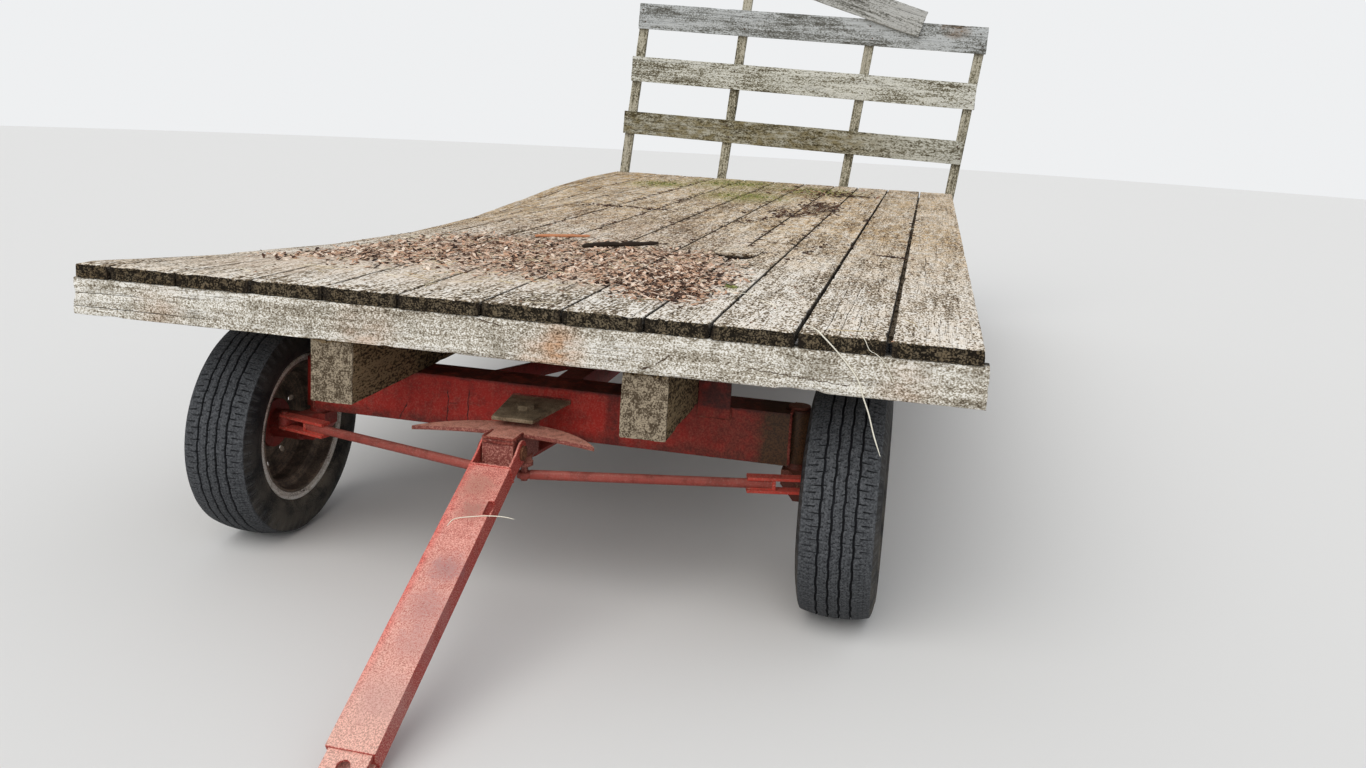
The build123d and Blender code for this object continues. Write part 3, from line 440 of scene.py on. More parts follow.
def rim_steel(name, axle_y):
    """Wheel steel: grey-brown barrel with worn rings, and a rusty, whitish flange."""
    g = Surface(name, 0.82)
    flat = g.vector("MULTIPLY", g.vector("SUBTRACT", g.place, (0.0, axle_y, TYRE_RADIUS)), (0.0, 1.0, 1.0))
    radius = g.vector("LENGTH", flat, output="Value")
    fine = g.noise(g.place, 240.0, 4.0, 0.65)
    broad = g.noise(g.place, 22.0, 5.0, 0.6)
    base = g.ramp(fine * 0.4 + broad * 0.6, (0.38, (62, 54, 48)), (0.5, (98, 86, 75)), (0.62, (140, 124, 108)))
    rings = g.step(g.math("SINE", radius * 700.0), 0.6, 1.0, 0.0, 0.5)
    base = g.mix(rings * g.step(broad, 0.4, 0.6), base, (150, 126, 104))
    lip = g.step(radius, 0.1960, 0.1990) * g.step(fine * 0.5 + broad * 0.5, 0.38, 0.48)
    colour = g.mix(lip, base, g.ramp(fine, (0.35, (168, 158, 146)), (0.6, (226, 220, 212))))
    return g.finish(colour, fine + broad * 0.5, 0.6, 0.001)


tyre_rubber = rubber("tyre_rubber")
front_rim_steel = rim_steel("front_rim_steel", FRONT_AXLE)
rear_rim_steel = rim_steel("rear_rim_steel", REAR_AXLE)


def plant(name, *tones):
    """Dry plant matter whose tone differs from piece to piece."""
    g = Surface(name, 0.8, 0.2)
    colour = g.ramp(g.attribute("tone"), *zip(np.linspace(0, 1, len(tones)), tones))
    shade = g.step(g.noise(g.place, 500.0, 3.0, 0.6), 0.4, 0.7, 0.0, 0.4)
    g.put(g.mix(shade, colour, (170, 150, 128), "MULTIPLY"), g.shader.inputs["Base Color"])
    return g.owner


chaff_plant = plant("chaff_plant", (38, 24, 18), (104, 72, 54), (216, 174, 144), (255, 240, 222))
straw_plant = plant("straw_plant", (196, 178, 140), (232, 220, 190), (250, 246, 230))
stick_plant = plant("stick_plant", (50, 40, 32), (96, 80, 64), (206, 142, 104))
moss_plant = plant("moss_plant", (64, 84, 44), (118, 124, 62), (164, 166, 100))


# Meshes
def lattice(x, y, z, seed):
    """Repeatable value from 0 to 1 at whole-numbered places."""
    mixed = (x * 374761393 + y * 668265263 + z * 1274126177 + seed * 974634777) & 0xFFFFFFFF
    mixed = ((mixed ^ (mixed >> 13)) * 1274126177) & 0xFFFFFFFF
    return ((mixed ^ (mixed >> 16)) & 0xFFFF) / 65535.0


def waves(x, y, z=0.0, seed=0, octaves=1):
    """Smooth noise from -1 to 1 over arrays of places."""
    x, y, z = np.broadcast_arrays(np.asarray(x, float), np.asarray(y, float), np.asarray(z, float))
    total = np.zeros(x.shape)
    weight = 1.0
    whole = 0.0
    for octave in range(octaves):
        cell = [np.floor(axis).astype(np.int64) for axis in (x, y, z)]
        part = [axis - low for axis, low in zip((x, y, z), cell)]
        part = [value * value * (3 - 2 * value) for value in part]
        level = 0.0
        for corner in np.ndindex(2, 2, 2):
            share = 1.0
            for value, side in zip(part, corner):
                share = share * (value if side else 1 - value)
            level = level + share * lattice(*[low + side for low, side in zip(cell, corner)], seed + octave)
        total += weight * (2 * level - 1)
        whole += weight
        weight *= 0.5
        x, y, z = x * 2, y * 2, z * 2
    return total / whole


def make_object(name, points, faces, material, body, attributes=None, sharp=40.0):
    """A shown piece from points, lists of faces and values for each point."""
    mesh = bpy.data.meshes.new(name)
    mesh.from_pydata([tuple(point) for point in np.asarray(points).tolist()], [], faces)
    for key, values in (attributes or {}).items():
        values = np.asarray(values, np.float32)
        kind, field = ("FLOAT_VECTOR", "vector") if values.ndim == 2 else ("FLOAT", "value")
        mesh.attributes.new(key, kind, "POINT").data.foreach_set(field, values.ravel())
    mesh.validate()
    mesh.shade_smooth()
    mesh.set_sharp_from_angle(angle=radians(sharp))
    mesh.materials.append(material)
    piece = shown(name, mesh)
    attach(piece, body)
    return piece


def ring_faces(stations, around, closed=True, loop=False):
    """Quads between rings of points that follow each other; in a loop the last ring meets the first."""
    rows = np.arange(stations if loop else stations - 1)[:, None]
    first = rows * around
    following = (rows + 1) % stations * around
    places = np.arange(around if closed else around - 1)[None, :]
    after = (places + 1) % around
    quads = np.stack([first + places, first + after, following + after, following + places], -1)
    return quads.reshape(-1, 4).tolist()


def capped(stations, around):
    """Quads between closed rings of points, and a face over the first and the last ring."""
    last = (stations - 1) * around
    return ring_faces(stations, around) + [list(range(around))[::-1], list(range(last, last + around))]


EDGE_RADIUS = 0.0045
WORN_END = 0.05
END_DEPTH = 0.006
CRACK_MARGIN = 0.0075
CRACK_TO_EDGE = 0.022
CRACK_SPACING = 0.026


class Board:
    """A sawn board along Y from 0, its face up at z 0 and its middle at x 0, worn by weather."""

    def __init__(self, length, width, thick, seed, cracks, spans, column=0.009, trim=(0.0, 0.0), painted_shade_sides=()):
        self.width = width
        self.thick = thick
        self.seed = seed
        places = [np.zeros(1)]
        start = 0.0
        for end, spacing in spans:
            end = min(end, length)
            places.append(np.linspace(start, end, max(2, ceil((end - start) / spacing)) + 1)[1:])
            start = end
        self.y = np.concatenate(places)
        half = width / 2
        radius = min(EDGE_RADIUS, thick * 0.2)
        inner = half - radius
        ring = self.section(cracks, column, half, radius)
        self.around = len(ring)
        x0 = np.array([entry[0] for entry in ring])
        z0 = np.array([entry[1] for entry in ring])
        y = self.y[:, None]
        x = np.repeat(x0[None, :], len(self.y), 0)
        z = np.repeat(z0[None, :], len(self.y), 0)
        crack_and_gap_shade = np.zeros_like(x)
        for index, (middle, start, end, wide, deep) in enumerate(cracks):
            run = np.clip((self.y - start) / 0.05, 0, 1) * np.clip((end - self.y) / 0.12, 0, 1)
            run = run * (0.75 + 0.25 * waves(self.y * 30, seed + index, seed=seed))
            wander = (0.0032 * waves(self.y * 7, index * 5.3, seed=seed + 3)
                      + 0.0008 * waves(self.y * 60, 0, seed=seed))
            for place, (_, _, crack, side) in enumerate(ring):
                if crack == index:
                    x[:, place] = middle + wander + side * (0.0004 + wide * run)
                    z[:, place] -= 0.0006 * run if side else deep * run
                    if side == 0:
                        crack_and_gap_shade[:, place] = np.clip(run * 1.6, 0, 1)
        z += (z0 == 0.0)[None, :] * (
            0.0011 * waves(x * 22, y * 1.6, seed=seed, octaves=2)
            + 0.0005 * waves(x * 240, y * 9, seed=seed + 1, octaves=2)
            - 0.0016 * (np.abs(x) / half) ** 3 * (1 + waves(y * 8, np.sign(x) * 9, seed=seed + 2)))
        edge = (np.sign(x0) * (np.abs(x0) >= inner - 1e-6))[None, :]
        bite = 0.0009 * waves(y * 11, edge * 7, z0 * 40, seed=seed + 4, octaves=3)
        chip = np.clip(waves(y * 17, edge * 3, z0 * 25, seed=seed + 5, octaves=2) - 0.42, 0, 1) * 0.012
        narrow = np.where(edge > 0, trim[1], trim[0]) * (1 - 0.6 * y / length)
        x -= edge * (0.0011 + bite + chip + narrow)
        z += (z0 <= -thick + 1e-6)[None, :] * 0.0006 * (1 + waves(x * 20, y * 2, seed=seed + 6))
        gone = 0.0024 * (1 + waves(x0 * 150, z0 * 90, seed=seed + 7, octaves=2))
        gone += 0.011 * np.clip(waves(x0 * 45, z0 * 20, seed=seed + 8) - 0.35, 0, 1)
        from_end = length - self.y
        begin = np.clip(1 - self.y / WORN_END, 0, 1)[:, None]
        finish = np.clip(1 - from_end / WORN_END, 0, 1)[:, None]
        worn_y = np.repeat(y, self.around, 1) + begin * gone[None, :] - finish * gone[::-1][None, :]
        ends = np.maximum(np.clip(1 - self.y / END_DEPTH, 0, 1), np.clip(1 - from_end / END_DEPTH, 0, 1))
        # Painted shade: the lower sides that face a neighbouring board take most of the dark crack colour.
        for side in painted_shade_sides:
            gap_shade = (np.sign(x0) == side) & (np.abs(x0) > inner + 1e-6) & (z0 < -0.0020)
            crack_and_gap_shade = np.maximum(crack_and_gap_shade, 0.85 * gap_shade[None, :])
        self.points = np.stack([x, worn_y, z], -1)
        self.crack = crack_and_gap_shade
        self.end = ends[:, None] * (z0 != 0.0)[None, :]

    def section(self, cracks, column, half, radius):
        """The board's section: for each point its place, its crack or -1, and its side of that crack."""
        inner = half - radius
        columns = list(np.linspace(-inner, inner, max(3, ceil(2 * inner / column))))
        for crack in cracks:
            columns = [x for x in columns if abs(x - crack[0]) > CRACK_MARGIN]
        ring = [(x, 0.0, -1, 0) for x in columns]
        ring += [(crack[0], 0.0, index, side) for index, crack in enumerate(cracks) for side in (-1, 0, 1)]
        ring.sort(key=lambda entry: (entry[0], entry[3]))
        down = [-radius * 0.3, -radius, -self.thick * 0.5, -self.thick + radius, -self.thick + radius * 0.3]
        out = [half - radius * 0.3, half, half, half, half - radius * 0.3]
        ring += [(x, z, -1, 0) for x, z in zip(out, down)]
        ring += [(x, -self.thick, -1, 0) for x in np.linspace(inner, -inner, 6)]
        return ring + [(-x, z, -1, 0) for x, z in reversed(list(zip(out, down)))]

    def mesh(self, shift):
        """Points, faces and attributes of the closed board; shift changes the points' places."""
        around = self.around
        points = self.points.reshape(-1, 3)
        count = len(points)
        faces = ring_faces(len(self.y), around)
        caps = []
        for outer, inward in ((0, 0.0025), (count - around, -0.0025)):
            turn = 1 if inward > 0 else -1
            ring = points[outer:outer + around]
            middle = np.array([0.0, ring[:, 1].mean(), -self.thick / 2])
            for shrink in (0.80, 0.45):
                inner = count + len(caps) * around
                cap = middle + (ring - middle) * np.array([shrink, 0.35, shrink])
                cap[:, 1] += inward * waves(cap[:, 0] * 120, cap[:, 2] * 200, seed=self.seed + 11)
                caps.append(cap)
                for k in range(around):
                    n = (k + 1) % around
                    faces.append([outer + n, outer + k, inner + k, inner + n][::turn])
                outer = inner
            faces.append(list(range(outer, outer + around))[::-turn])
        points = np.concatenate([points] + caps)
        extra = len(points) - count
        values = {"grain": points + np.array([self.seed * 1.37, self.seed * 0.71, self.seed * 0.23]),
                  "crack": np.concatenate([self.crack.ravel(), np.zeros(extra)]),
                  "end": np.concatenate([self.end.ravel(), np.ones(extra)])}
        return shift(points), [face[::-1] for face in faces], values


def turned_by(matrix):
    """Shift that places points by a matrix."""
    array = np.array(matrix)
    return lambda points: points @ array[:3, :3].T + array[:3, 3]


def wooden(name, node, board, shift, material, stain=None, moss=None, shade=0.0, litter=None):
    """Show a board in place of its node."""
    points, faces, values = board.mesh(shift)
    if litter:
        values["litter"], values["pale"] = litter(points)
    values["shade"] = np.full(len(points), shade)
    values["stain"] = stain(points) if stain else np.zeros(len(points))
    values["moss"] = moss(points) if moss else np.zeros(len(points))
    piece = make_object(name, points, faces, material, "chassis", values)
    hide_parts(node)
    return piece


# Deck
def deck_drop(points):
    """How far the sunken deck edge has dropped at each point."""
    stations = [0.0, BEAM_THICKNESS]
    for place in BEAM_PLACES:
        stations += [place - BEAM_THICKNESS / 2, place + BEAM_THICKNESS / 2]
    stations += [DECK_END - BEAM_THICKNESS, DECK_END]
    drops = np.repeat((0.0, *EDGE_DROPS, 0.0), 2)
    along = np.interp(points[:, 1] - FRONT_Y, stations, drops)
    return along * np.clip((BEND_X - points[:, 0]) / (BEND_X - CENTRE_X + DECK_HALF), 0, None)


def sagged(shift):
    """Shift that also lets points down with the sunken deck edge."""
    def sag(points):
        placed = shift(points)
        placed[:, 2] -= deck_drop(placed)
        return placed

    return sag


CHAFF_AREA = ((-940, 545), (-760, 400), (-193, 430), (209, 400), (400, 230), (450, 700), (330, 1180),
              (60, 1200), (-200, 1240), (-544, 1200))
PALE_AREA = ((-1090, 260), (-700, 120), (-150, 190), (220, 280), (300, 420), (100, 480), (-600, 470),
             (-860, 600))
TAN_AREA = ((-700, 1150), (-250, 1250), (250, 1200), (400, 1500), (-100, 2300), (-600, 2300))


def area_share(polygon, points, soft):
    """1 well inside a polygon, given in millimetres, falling to 0 outside it over a soft edge."""
    x, y = millimetres(points)
    best = np.full(x.shape, 1e9)
    inside = np.zeros(x.shape, bool)
    for (x1, y1), (x2, y2) in zip(polygon, polygon[1:] + polygon[:1]):
        dx, dy = x2 - x1, y2 - y1
        t = np.clip(((x - x1) * dx + (y - y1) * dy) / (dx * dx + dy * dy), 0, 1)
        best = np.minimum(best, np.hypot(x - x1 - t * dx, y - y1 - t * dy))
        inside ^= ((y1 > y) != (y2 > y)) & (x < dx * (y - y1) / (dy + 1e-12) + x1)
    return np.clip(0.5 + np.where(inside, best, -best) / (2 * soft), 0, 1)


def spots(x, y, places, edge):
    """Share around each spot, given as its place, its size along both axes and its strength."""
    total = np.zeros(x.shape)
    for spot_x, spot_y, wide, tall, strength in places:
        away = np.hypot((x - spot_x) / wide, (y - spot_y) / tall)
        total = np.maximum(total, strength * np.clip(edge - away, 0, 1))
    return total


def deck_stain(points):
    x = (points[:, 0] - CENTRE_X) / 1.14
    back = np.clip((points[:, 1] - FRONT_Y - 0.9) / 1.2, 0, 1)
    broad = waves(points[:, 0] * 2.1, points[:, 1] * 1.1, seed=41, octaves=3)
    return np.clip(0.30 + 0.52 * back + 0.20 * np.clip(-x, 0, 1) + 0.22 * broad, 0, 1)


def deck_litter(points):
    """Shares of hay litter and of pale dust on the deck."""
    thick = area_share(CHAFF_AREA, points, 90)
    x, y = millimetres(points)
    breaks = 0.5 + 0.5 * waves(x / 130, y / 100, seed=77, octaves=3)
    thick = np.clip(thick * (0.72 + 0.5 * breaks), 0, 1)
    tan_share = 0.45 * area_share(TAN_AREA, points, 260) * breaks
    return np.maximum(thick, tan_share), 0.8 * area_share(PALE_AREA, points, 70)


MOSS_SPOTS = ((-230, 4640, 330), (-600, 4200, 200), (330, 4440, 260), (0, 3700, 260), (483, 541, 22))


def deck_moss(points):
    return spots(*millimetres(points), [(x, y, size, size / 0.6, 1.0) for x, y, size in MOSS_SPOTS], 1.3)


rng = np.random.default_rng(20260)


def random_cracks(width, length, count, deep=0.006):
    """Places, lengths and sizes of a board's open cracks."""
    chosen = []
    half = width / 2 - CRACK_TO_EDGE
    for _ in range(count * 4):
        place = rng.uniform(-half, half)
        if all(abs(place - crack[0]) > CRACK_SPACING for crack in chosen):
            start = rng.choice([0.0, rng.uniform(0.0, length * 0.7)])
            chosen.append((place, start - 0.06, start + rng.uniform(0.25, 0.9), rng.uniform(0.0006, 0.0016),
                           rng.uniform(0.5, 1.0) * deep))
        if len(chosen) == count:
            break
    return chosen


plank_pieces = []
PLANK_SHADES = (0.25, -0.10, 0.10, 0.30, -0.15, -0.35, -0.30, 0.0, -0.05, 0.10, 0.05, -0.1)
PLANK_TRIMS = {0: (0.0030, 0.0), 1: (0.0016, 0.0028), 2: (0.0, 0.0014), 5: (0.0012, 0.0), 7: (0.0010, 0.0)}
for index, ((low, high), shade) in enumerate(zip(PLANK_BOXES, PLANK_SHADES)):
    node = f"plank_{index + 1:02d}"
    width = high.x - low.x
    length = high.y - low.y
    # Each plank gets painted shade on its sides that face another plank.
    plank = Board(length, width, PLANK_THICKNESS, 100 + index * 13,
                  random_cracks(width, length, 4 if width > 0.15 else 2),
                  ((0.4, 0.008), (1.7, 0.015), (9.0, 0.042)), trim=PLANK_TRIMS.get(index, (0.0, 0.0)),
                  painted_shade_sides=[side for side in (-1, 1) if (index, side) not in ((0, 1), (PLANKS - 1, -1))])
    place = np.array([(low.x + high.x) / 2, low.y, DECK_TOP])
    lay = sagged(lambda points, place=place: points + place)
    plank_pieces.append(wooden(node + "_wood", node, plank, lay, deck_wood, deck_stain, deck_moss,
                               shade, deck_litter))

FACING_AHEAD = Matrix(((0, 1, 0), (0, 0, -1), (1, 0, 0))).to_4x4()
FACING_AHEAD_UPRIGHT = Matrix(((1, 0, 0), (0, 0, -1), (0, 1, 0))).to_4x4()


def timber(low, high, along, seed, cracks, spans, column=0.009):
    """A straight timber between two corners: along X with its worked face ahead, or along Y with it up."""
    size = high - low
    middle = (low + high) / 2
    length = size[along]
    if along == 1:
        width, thick = size.x, size.z
        place = Matrix.Translation((middle.x, low.y, high.z))
    else:
        width, thick = size.z, size.y
        place = Matrix.Translation((low.x, low.y, middle.z)) @ FACING_AHEAD
    board = Board(length, width, thick, seed, random_cracks(width, length, cracks), spans, column)
    return board, turned_by(place)


def header_stain(points):
    stains = ((170, 740, 70, 0.9), (120, 712, 60, 0.7), (-330, 720, 90, 0.45), (-900, 728, 80, 0.35),
              (980, 722, 70, 0.4))
    return spots(millimetres(points)[0], points[:, 2] * 1000,
                 [(x, z, size, size, strength) for x, z, size, strength in stains], 1.2)


board, shift = timber(*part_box("front_header"), 0, 901, 6, ((9.0, 0.010),), 0.008)
# Painted shade: behind its front face, the header's top, where the planks lie on it, takes the dark crack
# colour.
under_planks_shade = (np.abs(board.points[..., 0] - board.width / 2) < 0.005) & (board.points[..., 2] < -0.006)
board.crack = np.where(under_planks_shade, 0.9, board.crack)
wooden("front_header_wood", "front_header", board, shift, header_wood, header_stain)
board, shift = timber(*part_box("rear_header"), 0, 937, 4, ((9.0, 0.022),))
wooden("rear_header_wood", "rear_header", board, shift, header_wood)
for index, node in enumerate(("sill_left", "sill_right")):
    board, shift = timber(*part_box(node), 1, 951 + index * 17, 3, ((0.5, 0.009), (9.0, 0.03)), 0.012)
    wooden(node + "_wood", node, board, shift, sill_wood)

beam_points = []
beam_faces = []
beam_values = {}
beam_count = 0
for index, place in enumerate(BEAM_PLACES):
    corners = [Vector((CENTRE_X + side * DECK_HALF, FRONT_Y + place + side * BEAM_THICKNESS / 2,
                       DECK_TOP - PLANK_THICKNESS - depth)) for side, depth in ((-1, BEAM_HEIGHT), (1, 0.0))]
    board, shift = timber(*corners, 0, 1001 + 19 * index, 2, ((0.1, 0.01), (9.0, 0.03)), 0.016)
    points, faces, values = board.mesh(sagged(shift))
    beam_points.append(points)
    beam_faces += [[vertex + beam_count for vertex in face] for face in faces]
    for key, value in values.items():
        beam_values.setdefault(key, []).append(value)
    beam_count += len(points)
beam_values = {key: np.concatenate(value) for key, value in beam_values.items()}
beam_values.update({key: np.zeros(beam_count) for key in ("stain", "moss", "shade")})
piece = make_object("cross_beams_wood", np.concatenate(beam_points), beam_faces, beam_wood,
                    "chassis", beam_values)
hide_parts("cross_beams")

# Rear rack: its stakes' leans, its rails' widths and woods, and how far they run down to the right
STAKE_LEANS = {"rack_stake_1": 5.4, "rack_stake_2": 5.3, "rack_stake_3": 6.2, "rack_stake_4": 6.6}
RAIL_WIDTHS = {"rack_rail_low": 0.155, "rack_rail_mid": 0.170, "rack_rail_top": 0.172}
RAIL_WOODS = {"rack_rail_low": rail_low_wood, "rack_rail_mid": rail_mid_wood, "rack_rail_top": rail_top_wood}
RAIL_TILT = radians(1.9)
STAKE_WIDTH = 0.062
LOOSE_TILT = radians(17.0)
LOOSE_WIDTH = 0.172


def rail_patch(points):
    """A brown patch and a knot near the right end of the rack's top rail."""
    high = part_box("rack_rail_top")[1]
    return spots(points[:, 0] - high.x, points[:, 2] - high.z,
                 ((-0.200, -0.105, 0.075, 0.045, 1.0), (-0.275, -0.085, 0.022, 0.020, 1.0)), 1.5)


def rail_olive(points):
    """The low rail is olive but for its grey right end."""
    from_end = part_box("rack_rail_low")[1].x - points[:, 0]
    return np.clip((from_end - 0.30) / 0.45, 0, 1)


RAIL_STAINS = {"rack_rail_low": rail_olive, "rack_rail_top": rail_patch}


def tilted(node, tilt, width, material, seed, cracks, upright=False):
    """A board that faces ahead, in place of a node that is turned about Y by tilt."""
    low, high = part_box(node)
    size = high - low
    length = ((size.z if upright else size.x) - width * sin(tilt)) / cos(tilt)
    board = Board(length, width, size.y, seed, random_cracks(width, length, cracks, 0.005), ((9.0, 0.018),))
    facing = FACING_AHEAD_UPRIGHT if upright else FACING_AHEAD
    place = (Matrix.Translation((low + high) / 2) @ Matrix.Rotation(tilt, 4, "Y") @ facing
             @ Matrix.Translation((0, -length / 2, size.y / 2)))
    wooden(node + "_wood", node, board, turned_by(place), material, RAIL_STAINS.get(node))


for index, (node, lean) in enumerate(STAKE_LEANS.items()):
    tilted(node, radians(lean), STAKE_WIDTH, stake_wood, 1301 + 23 * index, 2, True)
for index, (node, width) in enumerate(RAIL_WIDTHS.items()):
    tilted(node, RAIL_TILT, width, RAIL_WOODS[node], 1401 + 23 * index, 3)
tilted("rack_loose_board", LOOSE_TILT, LOOSE_WIDTH, loose_wood, 1501, 3)

# Tyres
SIDEWALL = ((0.0757, 0.1953), (0.0757, 0.2095), (0.0855, 0.2180), (0.0912, 0.2262), (0.0942, 0.2280),
            (0.0990, 0.2390), (0.1018, 0.2500), (0.1010, 0.2520), (0.1020, 0.2545), (0.1014, 0.2670),
            (0.0992, 0.2745), (0.0972, 0.2870), (0.0942, 0.2980), (0.0920, 0.3040))
LINER = ((0.060, 0.1953), (0.060, 0.2110), (0.090, 0.2560), (0.076, 0.2960))
GROOVES = (-0.0430, -0.0140, 0.0140, 0.0430)
GROOVE_HALF = 0.0034
GROOVE_FLOOR_HALF = 0.0016
GROOVE_DEPTH = 0.0078
RIB_SLOT_DEPTH = 0.0046
SHOULDER_SLOT_DEPTH = 0.0056
CROWN_DROP = 0.012
CROWN_HALF = 0.0885
TREAD_EDGE = 0.0890
SHOULDER_SLOTS = (0.0570, 0.0585, 0.0700, 0.0715)
PITCHES = 60
SLOTS = (0.06, 0.56)
NEAR_SHARES = (0.0, 0.06, 0.12, 0.30, 0.50, 0.56, 0.62, 0.80)
FAR_SHARES = (0.0, 0.06, 0.30, 0.56, 0.80)


def crown(x):
    return TYRE_RADIUS - CROWN_DROP * (abs(x) / CROWN_HALF) ** 2.2


def tyre_mesh(shares):
    """A worn road tyre about the X axis.

    Three ribs with slanted notches between four grooves, wide shoulders with fine slots, ringed sidewalls.
    The shares are the places of the mesh's stations within one pitch of the tread, the slots among them.
    """
    angles = np.array([(pitch + share) / PITCHES * 2 * pi for pitch in range(PITCHES) for share in shares])
    phase = np.tile(shares, PITCHES)
    turn = np.repeat(np.arange(PITCHES), len(shares))
    zigzag = 0.0009 * np.where(turn % 2 == 0, 1.0, -1.0)
    first_slot, second_slot = [phase == slot for slot in SLOTS]
    sides = [(-x, radius, "wall", 0) for x, radius in SIDEWALL]
    bounds = [-TREAD_EDGE] + [x for groove in GROOVES for x in (groove - GROOVE_HALF, groove + GROOVE_HALF)]
    bounds.append(TREAD_EDGE)
    tread = []
    for rib in range(5):
        left, right_edge = bounds[2 * rib], bounds[2 * rib + 1]
        if rib == 0:
            inner = (left + 0.004, *[-x for x in reversed(SHOULDER_SLOTS)], right_edge - 0.001)
        elif rib == 4:
            inner = (left + 0.001, *SHOULDER_SLOTS, right_edge - 0.004)
        else:
            inner = (left + 0.001, left + 0.0085, left + 0.0095, right_edge - 0.0095, right_edge - 0.0085,
                     right_edge - 0.001)
        tread += [(x, crown(x), "rib", rib) for x in (left, *inner, right_edge)]
        if rib < 4:
            tread += [(GROOVES[rib] + offset, crown(GROOVES[rib]) - GROOVE_DEPTH, "groove", 0)
                      for offset in (-GROOVE_FLOOR_HALF, GROOVE_FLOOR_HALF)]
    columns = sides + tread + [(-x, radius, kind, rib) for x, radius, kind, rib in reversed(sides)]
    columns += [(x, radius, "inner", 0) for x, radius in LINER]
    columns += [(-x, radius, "inner", 0) for x, radius in reversed(LINER)]
    count = len(columns)
    stations = len(angles)
    points = np.zeros((stations, count, 3))
    values = {key: np.zeros((stations, count)) for key in ("rib", "dust")}
    values["across"] = np.full((stations, count), 0.03)
    values["around"] = np.repeat((turn + phase)[:, None], count, 1)
    for index, (x, radius, kind, rib) in enumerate(columns):
        radii = np.full(stations, radius)
        xs = np.full(stations, x)
        twist = 0.0
        if kind == "rib":
            middle = (bounds[2 * rib] + bounds[2 * rib + 1]) / 2
            values["across"][:, index] = x - middle
            if rib in (0, 4):
                cut = (first_slot & (0.0450 < abs(x) < 0.0700)) | (second_slot & (0.0575 < abs(x) < 0.0800))
                deep = SHOULDER_SLOT_DEPTH
                twist = twist - abs(x) * 0.25 + 0.016
            else:
                cut = (first_slot if x < middle else second_slot) & (abs(x - middle) > 0.0030)
                deep = RIB_SLOT_DEPTH
                twist = (x - middle) * (0.9 if rib == 2 else -0.9)
            values["rib"][:, index] = np.where(cut, 0.05, 1.0)
            if abs(x) < 0.05 and x in bounds:
                xs = xs + zigzag
            radii = radii - deep * cut - 0.0005 * (1 + waves(angles * 6, x * 90, seed=7, octaves=2))
        elif kind == "groove":
            xs = xs + zigzag
        elif kind == "wall":
            values["dust"][:, index] = 0.30 + 0.5 * np.clip((0.25 - radius) / 0.05, 0, 1)
            if radius > 0.286:
                lug = (phase < 0.5) & ~first_slot
                xs = xs - np.sign(x) * np.where(lug, 0.0, 0.0020)
                values["rib"][:, index] = np.where(lug, 0.45, 0.05)
        theta = angles + twist
        points[:, index] = np.stack([xs, radii * np.sin(theta), radii * np.cos(theta)], -1)
    faces = ring_faces(stations, count, loop=True)
    return points.reshape(-1, 3), faces, {key: value.ravel() for key, value in values.items()}


TYRE_SPINS = {"fl": 0.013, "fr": 0.9, "rl": 2.1, "rr": 3.7}
TYRE_SHADES = {"fl": 0.0, "fr": 0.10, "rl": 0.0, "rr": 0.05}


def wheel_centre(corner):
    low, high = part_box("tyre_" + corner)
    return np.array([(low.x + high.x) / 2, FRONT_AXLE if corner[0] == "f" else REAR_AXLE, TYRE_RADIUS])


for axle, shares in (("f", NEAR_SHARES), ("r", FAR_SHARES)):
    tyre_points, tyre_faces, tyre_values = tyre_mesh(shares)
    for corner in (axle + "l", axle + "r"):
        turn = np.array(Matrix.Rotation(TYRE_SPINS[corner], 3, "X"))
        points = tyre_points @ turn.T + wheel_centre(corner)
        low_share = np.clip((0.36 - points[:, 2]) / 0.3, 0, 1)
        values = dict(tyre_values, rib=tyre_values["rib"] * (0.84 + TYRE_SHADES[corner]),
                      dust=np.clip(tyre_values["dust"] * (0.5 + 0.9 * low_share), 0, 1))
        piece = make_object(f"tyre_{corner}_rubber", points, tyre_faces, tyre_rubber, "wheel_" + corner,
                            values, sharp=35.0)
        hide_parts("tyre_" + corner)

LIP_STATIONS = 120
LIP_SECTION = 8
LIP_RADIUS = 0.2125
LIP_PLACE = 0.0835
LIP_HALF_WIDTH = 0.0050
LIP_HALF_HEIGHT = 0.0060
for corner in TYRE_SPINS:
    lip_points = []
    lip_faces = []
    for side in (-1, 1):
        first = len(lip_points) * LIP_STATIONS * LIP_SECTION
        turn = np.arange(LIP_STATIONS) * 2 * pi / LIP_STATIONS
        roll = np.arange(LIP_SECTION) * 2 * pi / LIP_SECTION
        dent = 0.0006 * waves(turn * 5, side * 3.0, seed=ord(corner[0]) + ord(corner[1]), octaves=2)
        radii = LIP_RADIUS + dent[:, None] + LIP_HALF_HEIGHT * np.cos(roll)[None, :]
        x = np.broadcast_to(side * (LIP_PLACE + LIP_HALF_WIDTH * np.sin(roll))[None, :], radii.shape)
        ring = np.stack([x, radii * np.sin(turn)[:, None], radii * np.cos(turn)[:, None]], -1).reshape(-1, 3)
        lip_points.append(ring + wheel_centre(corner))
        for a, b, c, d in ring_faces(LIP_STATIONS, LIP_SECTION, loop=True):
            lip_faces.append([vertex + first for vertex in ((a, d, c, b) if side < 0 else (b, c, d, a))])
    make_object("rim_lip_" + corner, np.concatenate(lip_points), lip_faces, flange_pale,
                "wheel_" + corner, sharp=60.0)


# Steel nodes that keep their CAD shape
SAME_PLACE = 0.00005
SHARP_ANGLE = radians(40)


def dress(node, material, bevel):
    """Give a CAD node its finish and ease its sharp edges."""
    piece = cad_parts[node]
    piece.data.materials.clear()
    piece.data.materials.append(material)
    if bevel:
        piece.modifiers.new("weld", "WELD").merge_threshold = SAME_PLACE
        soft = piece.modifiers.new("soft_edges", "BEVEL")
        soft.width = bevel
        soft.segments = 2
        soft.limit_method = "ANGLE"
        soft.angle_limit = SHARP_ANGLE
        soft.harden_normals = False


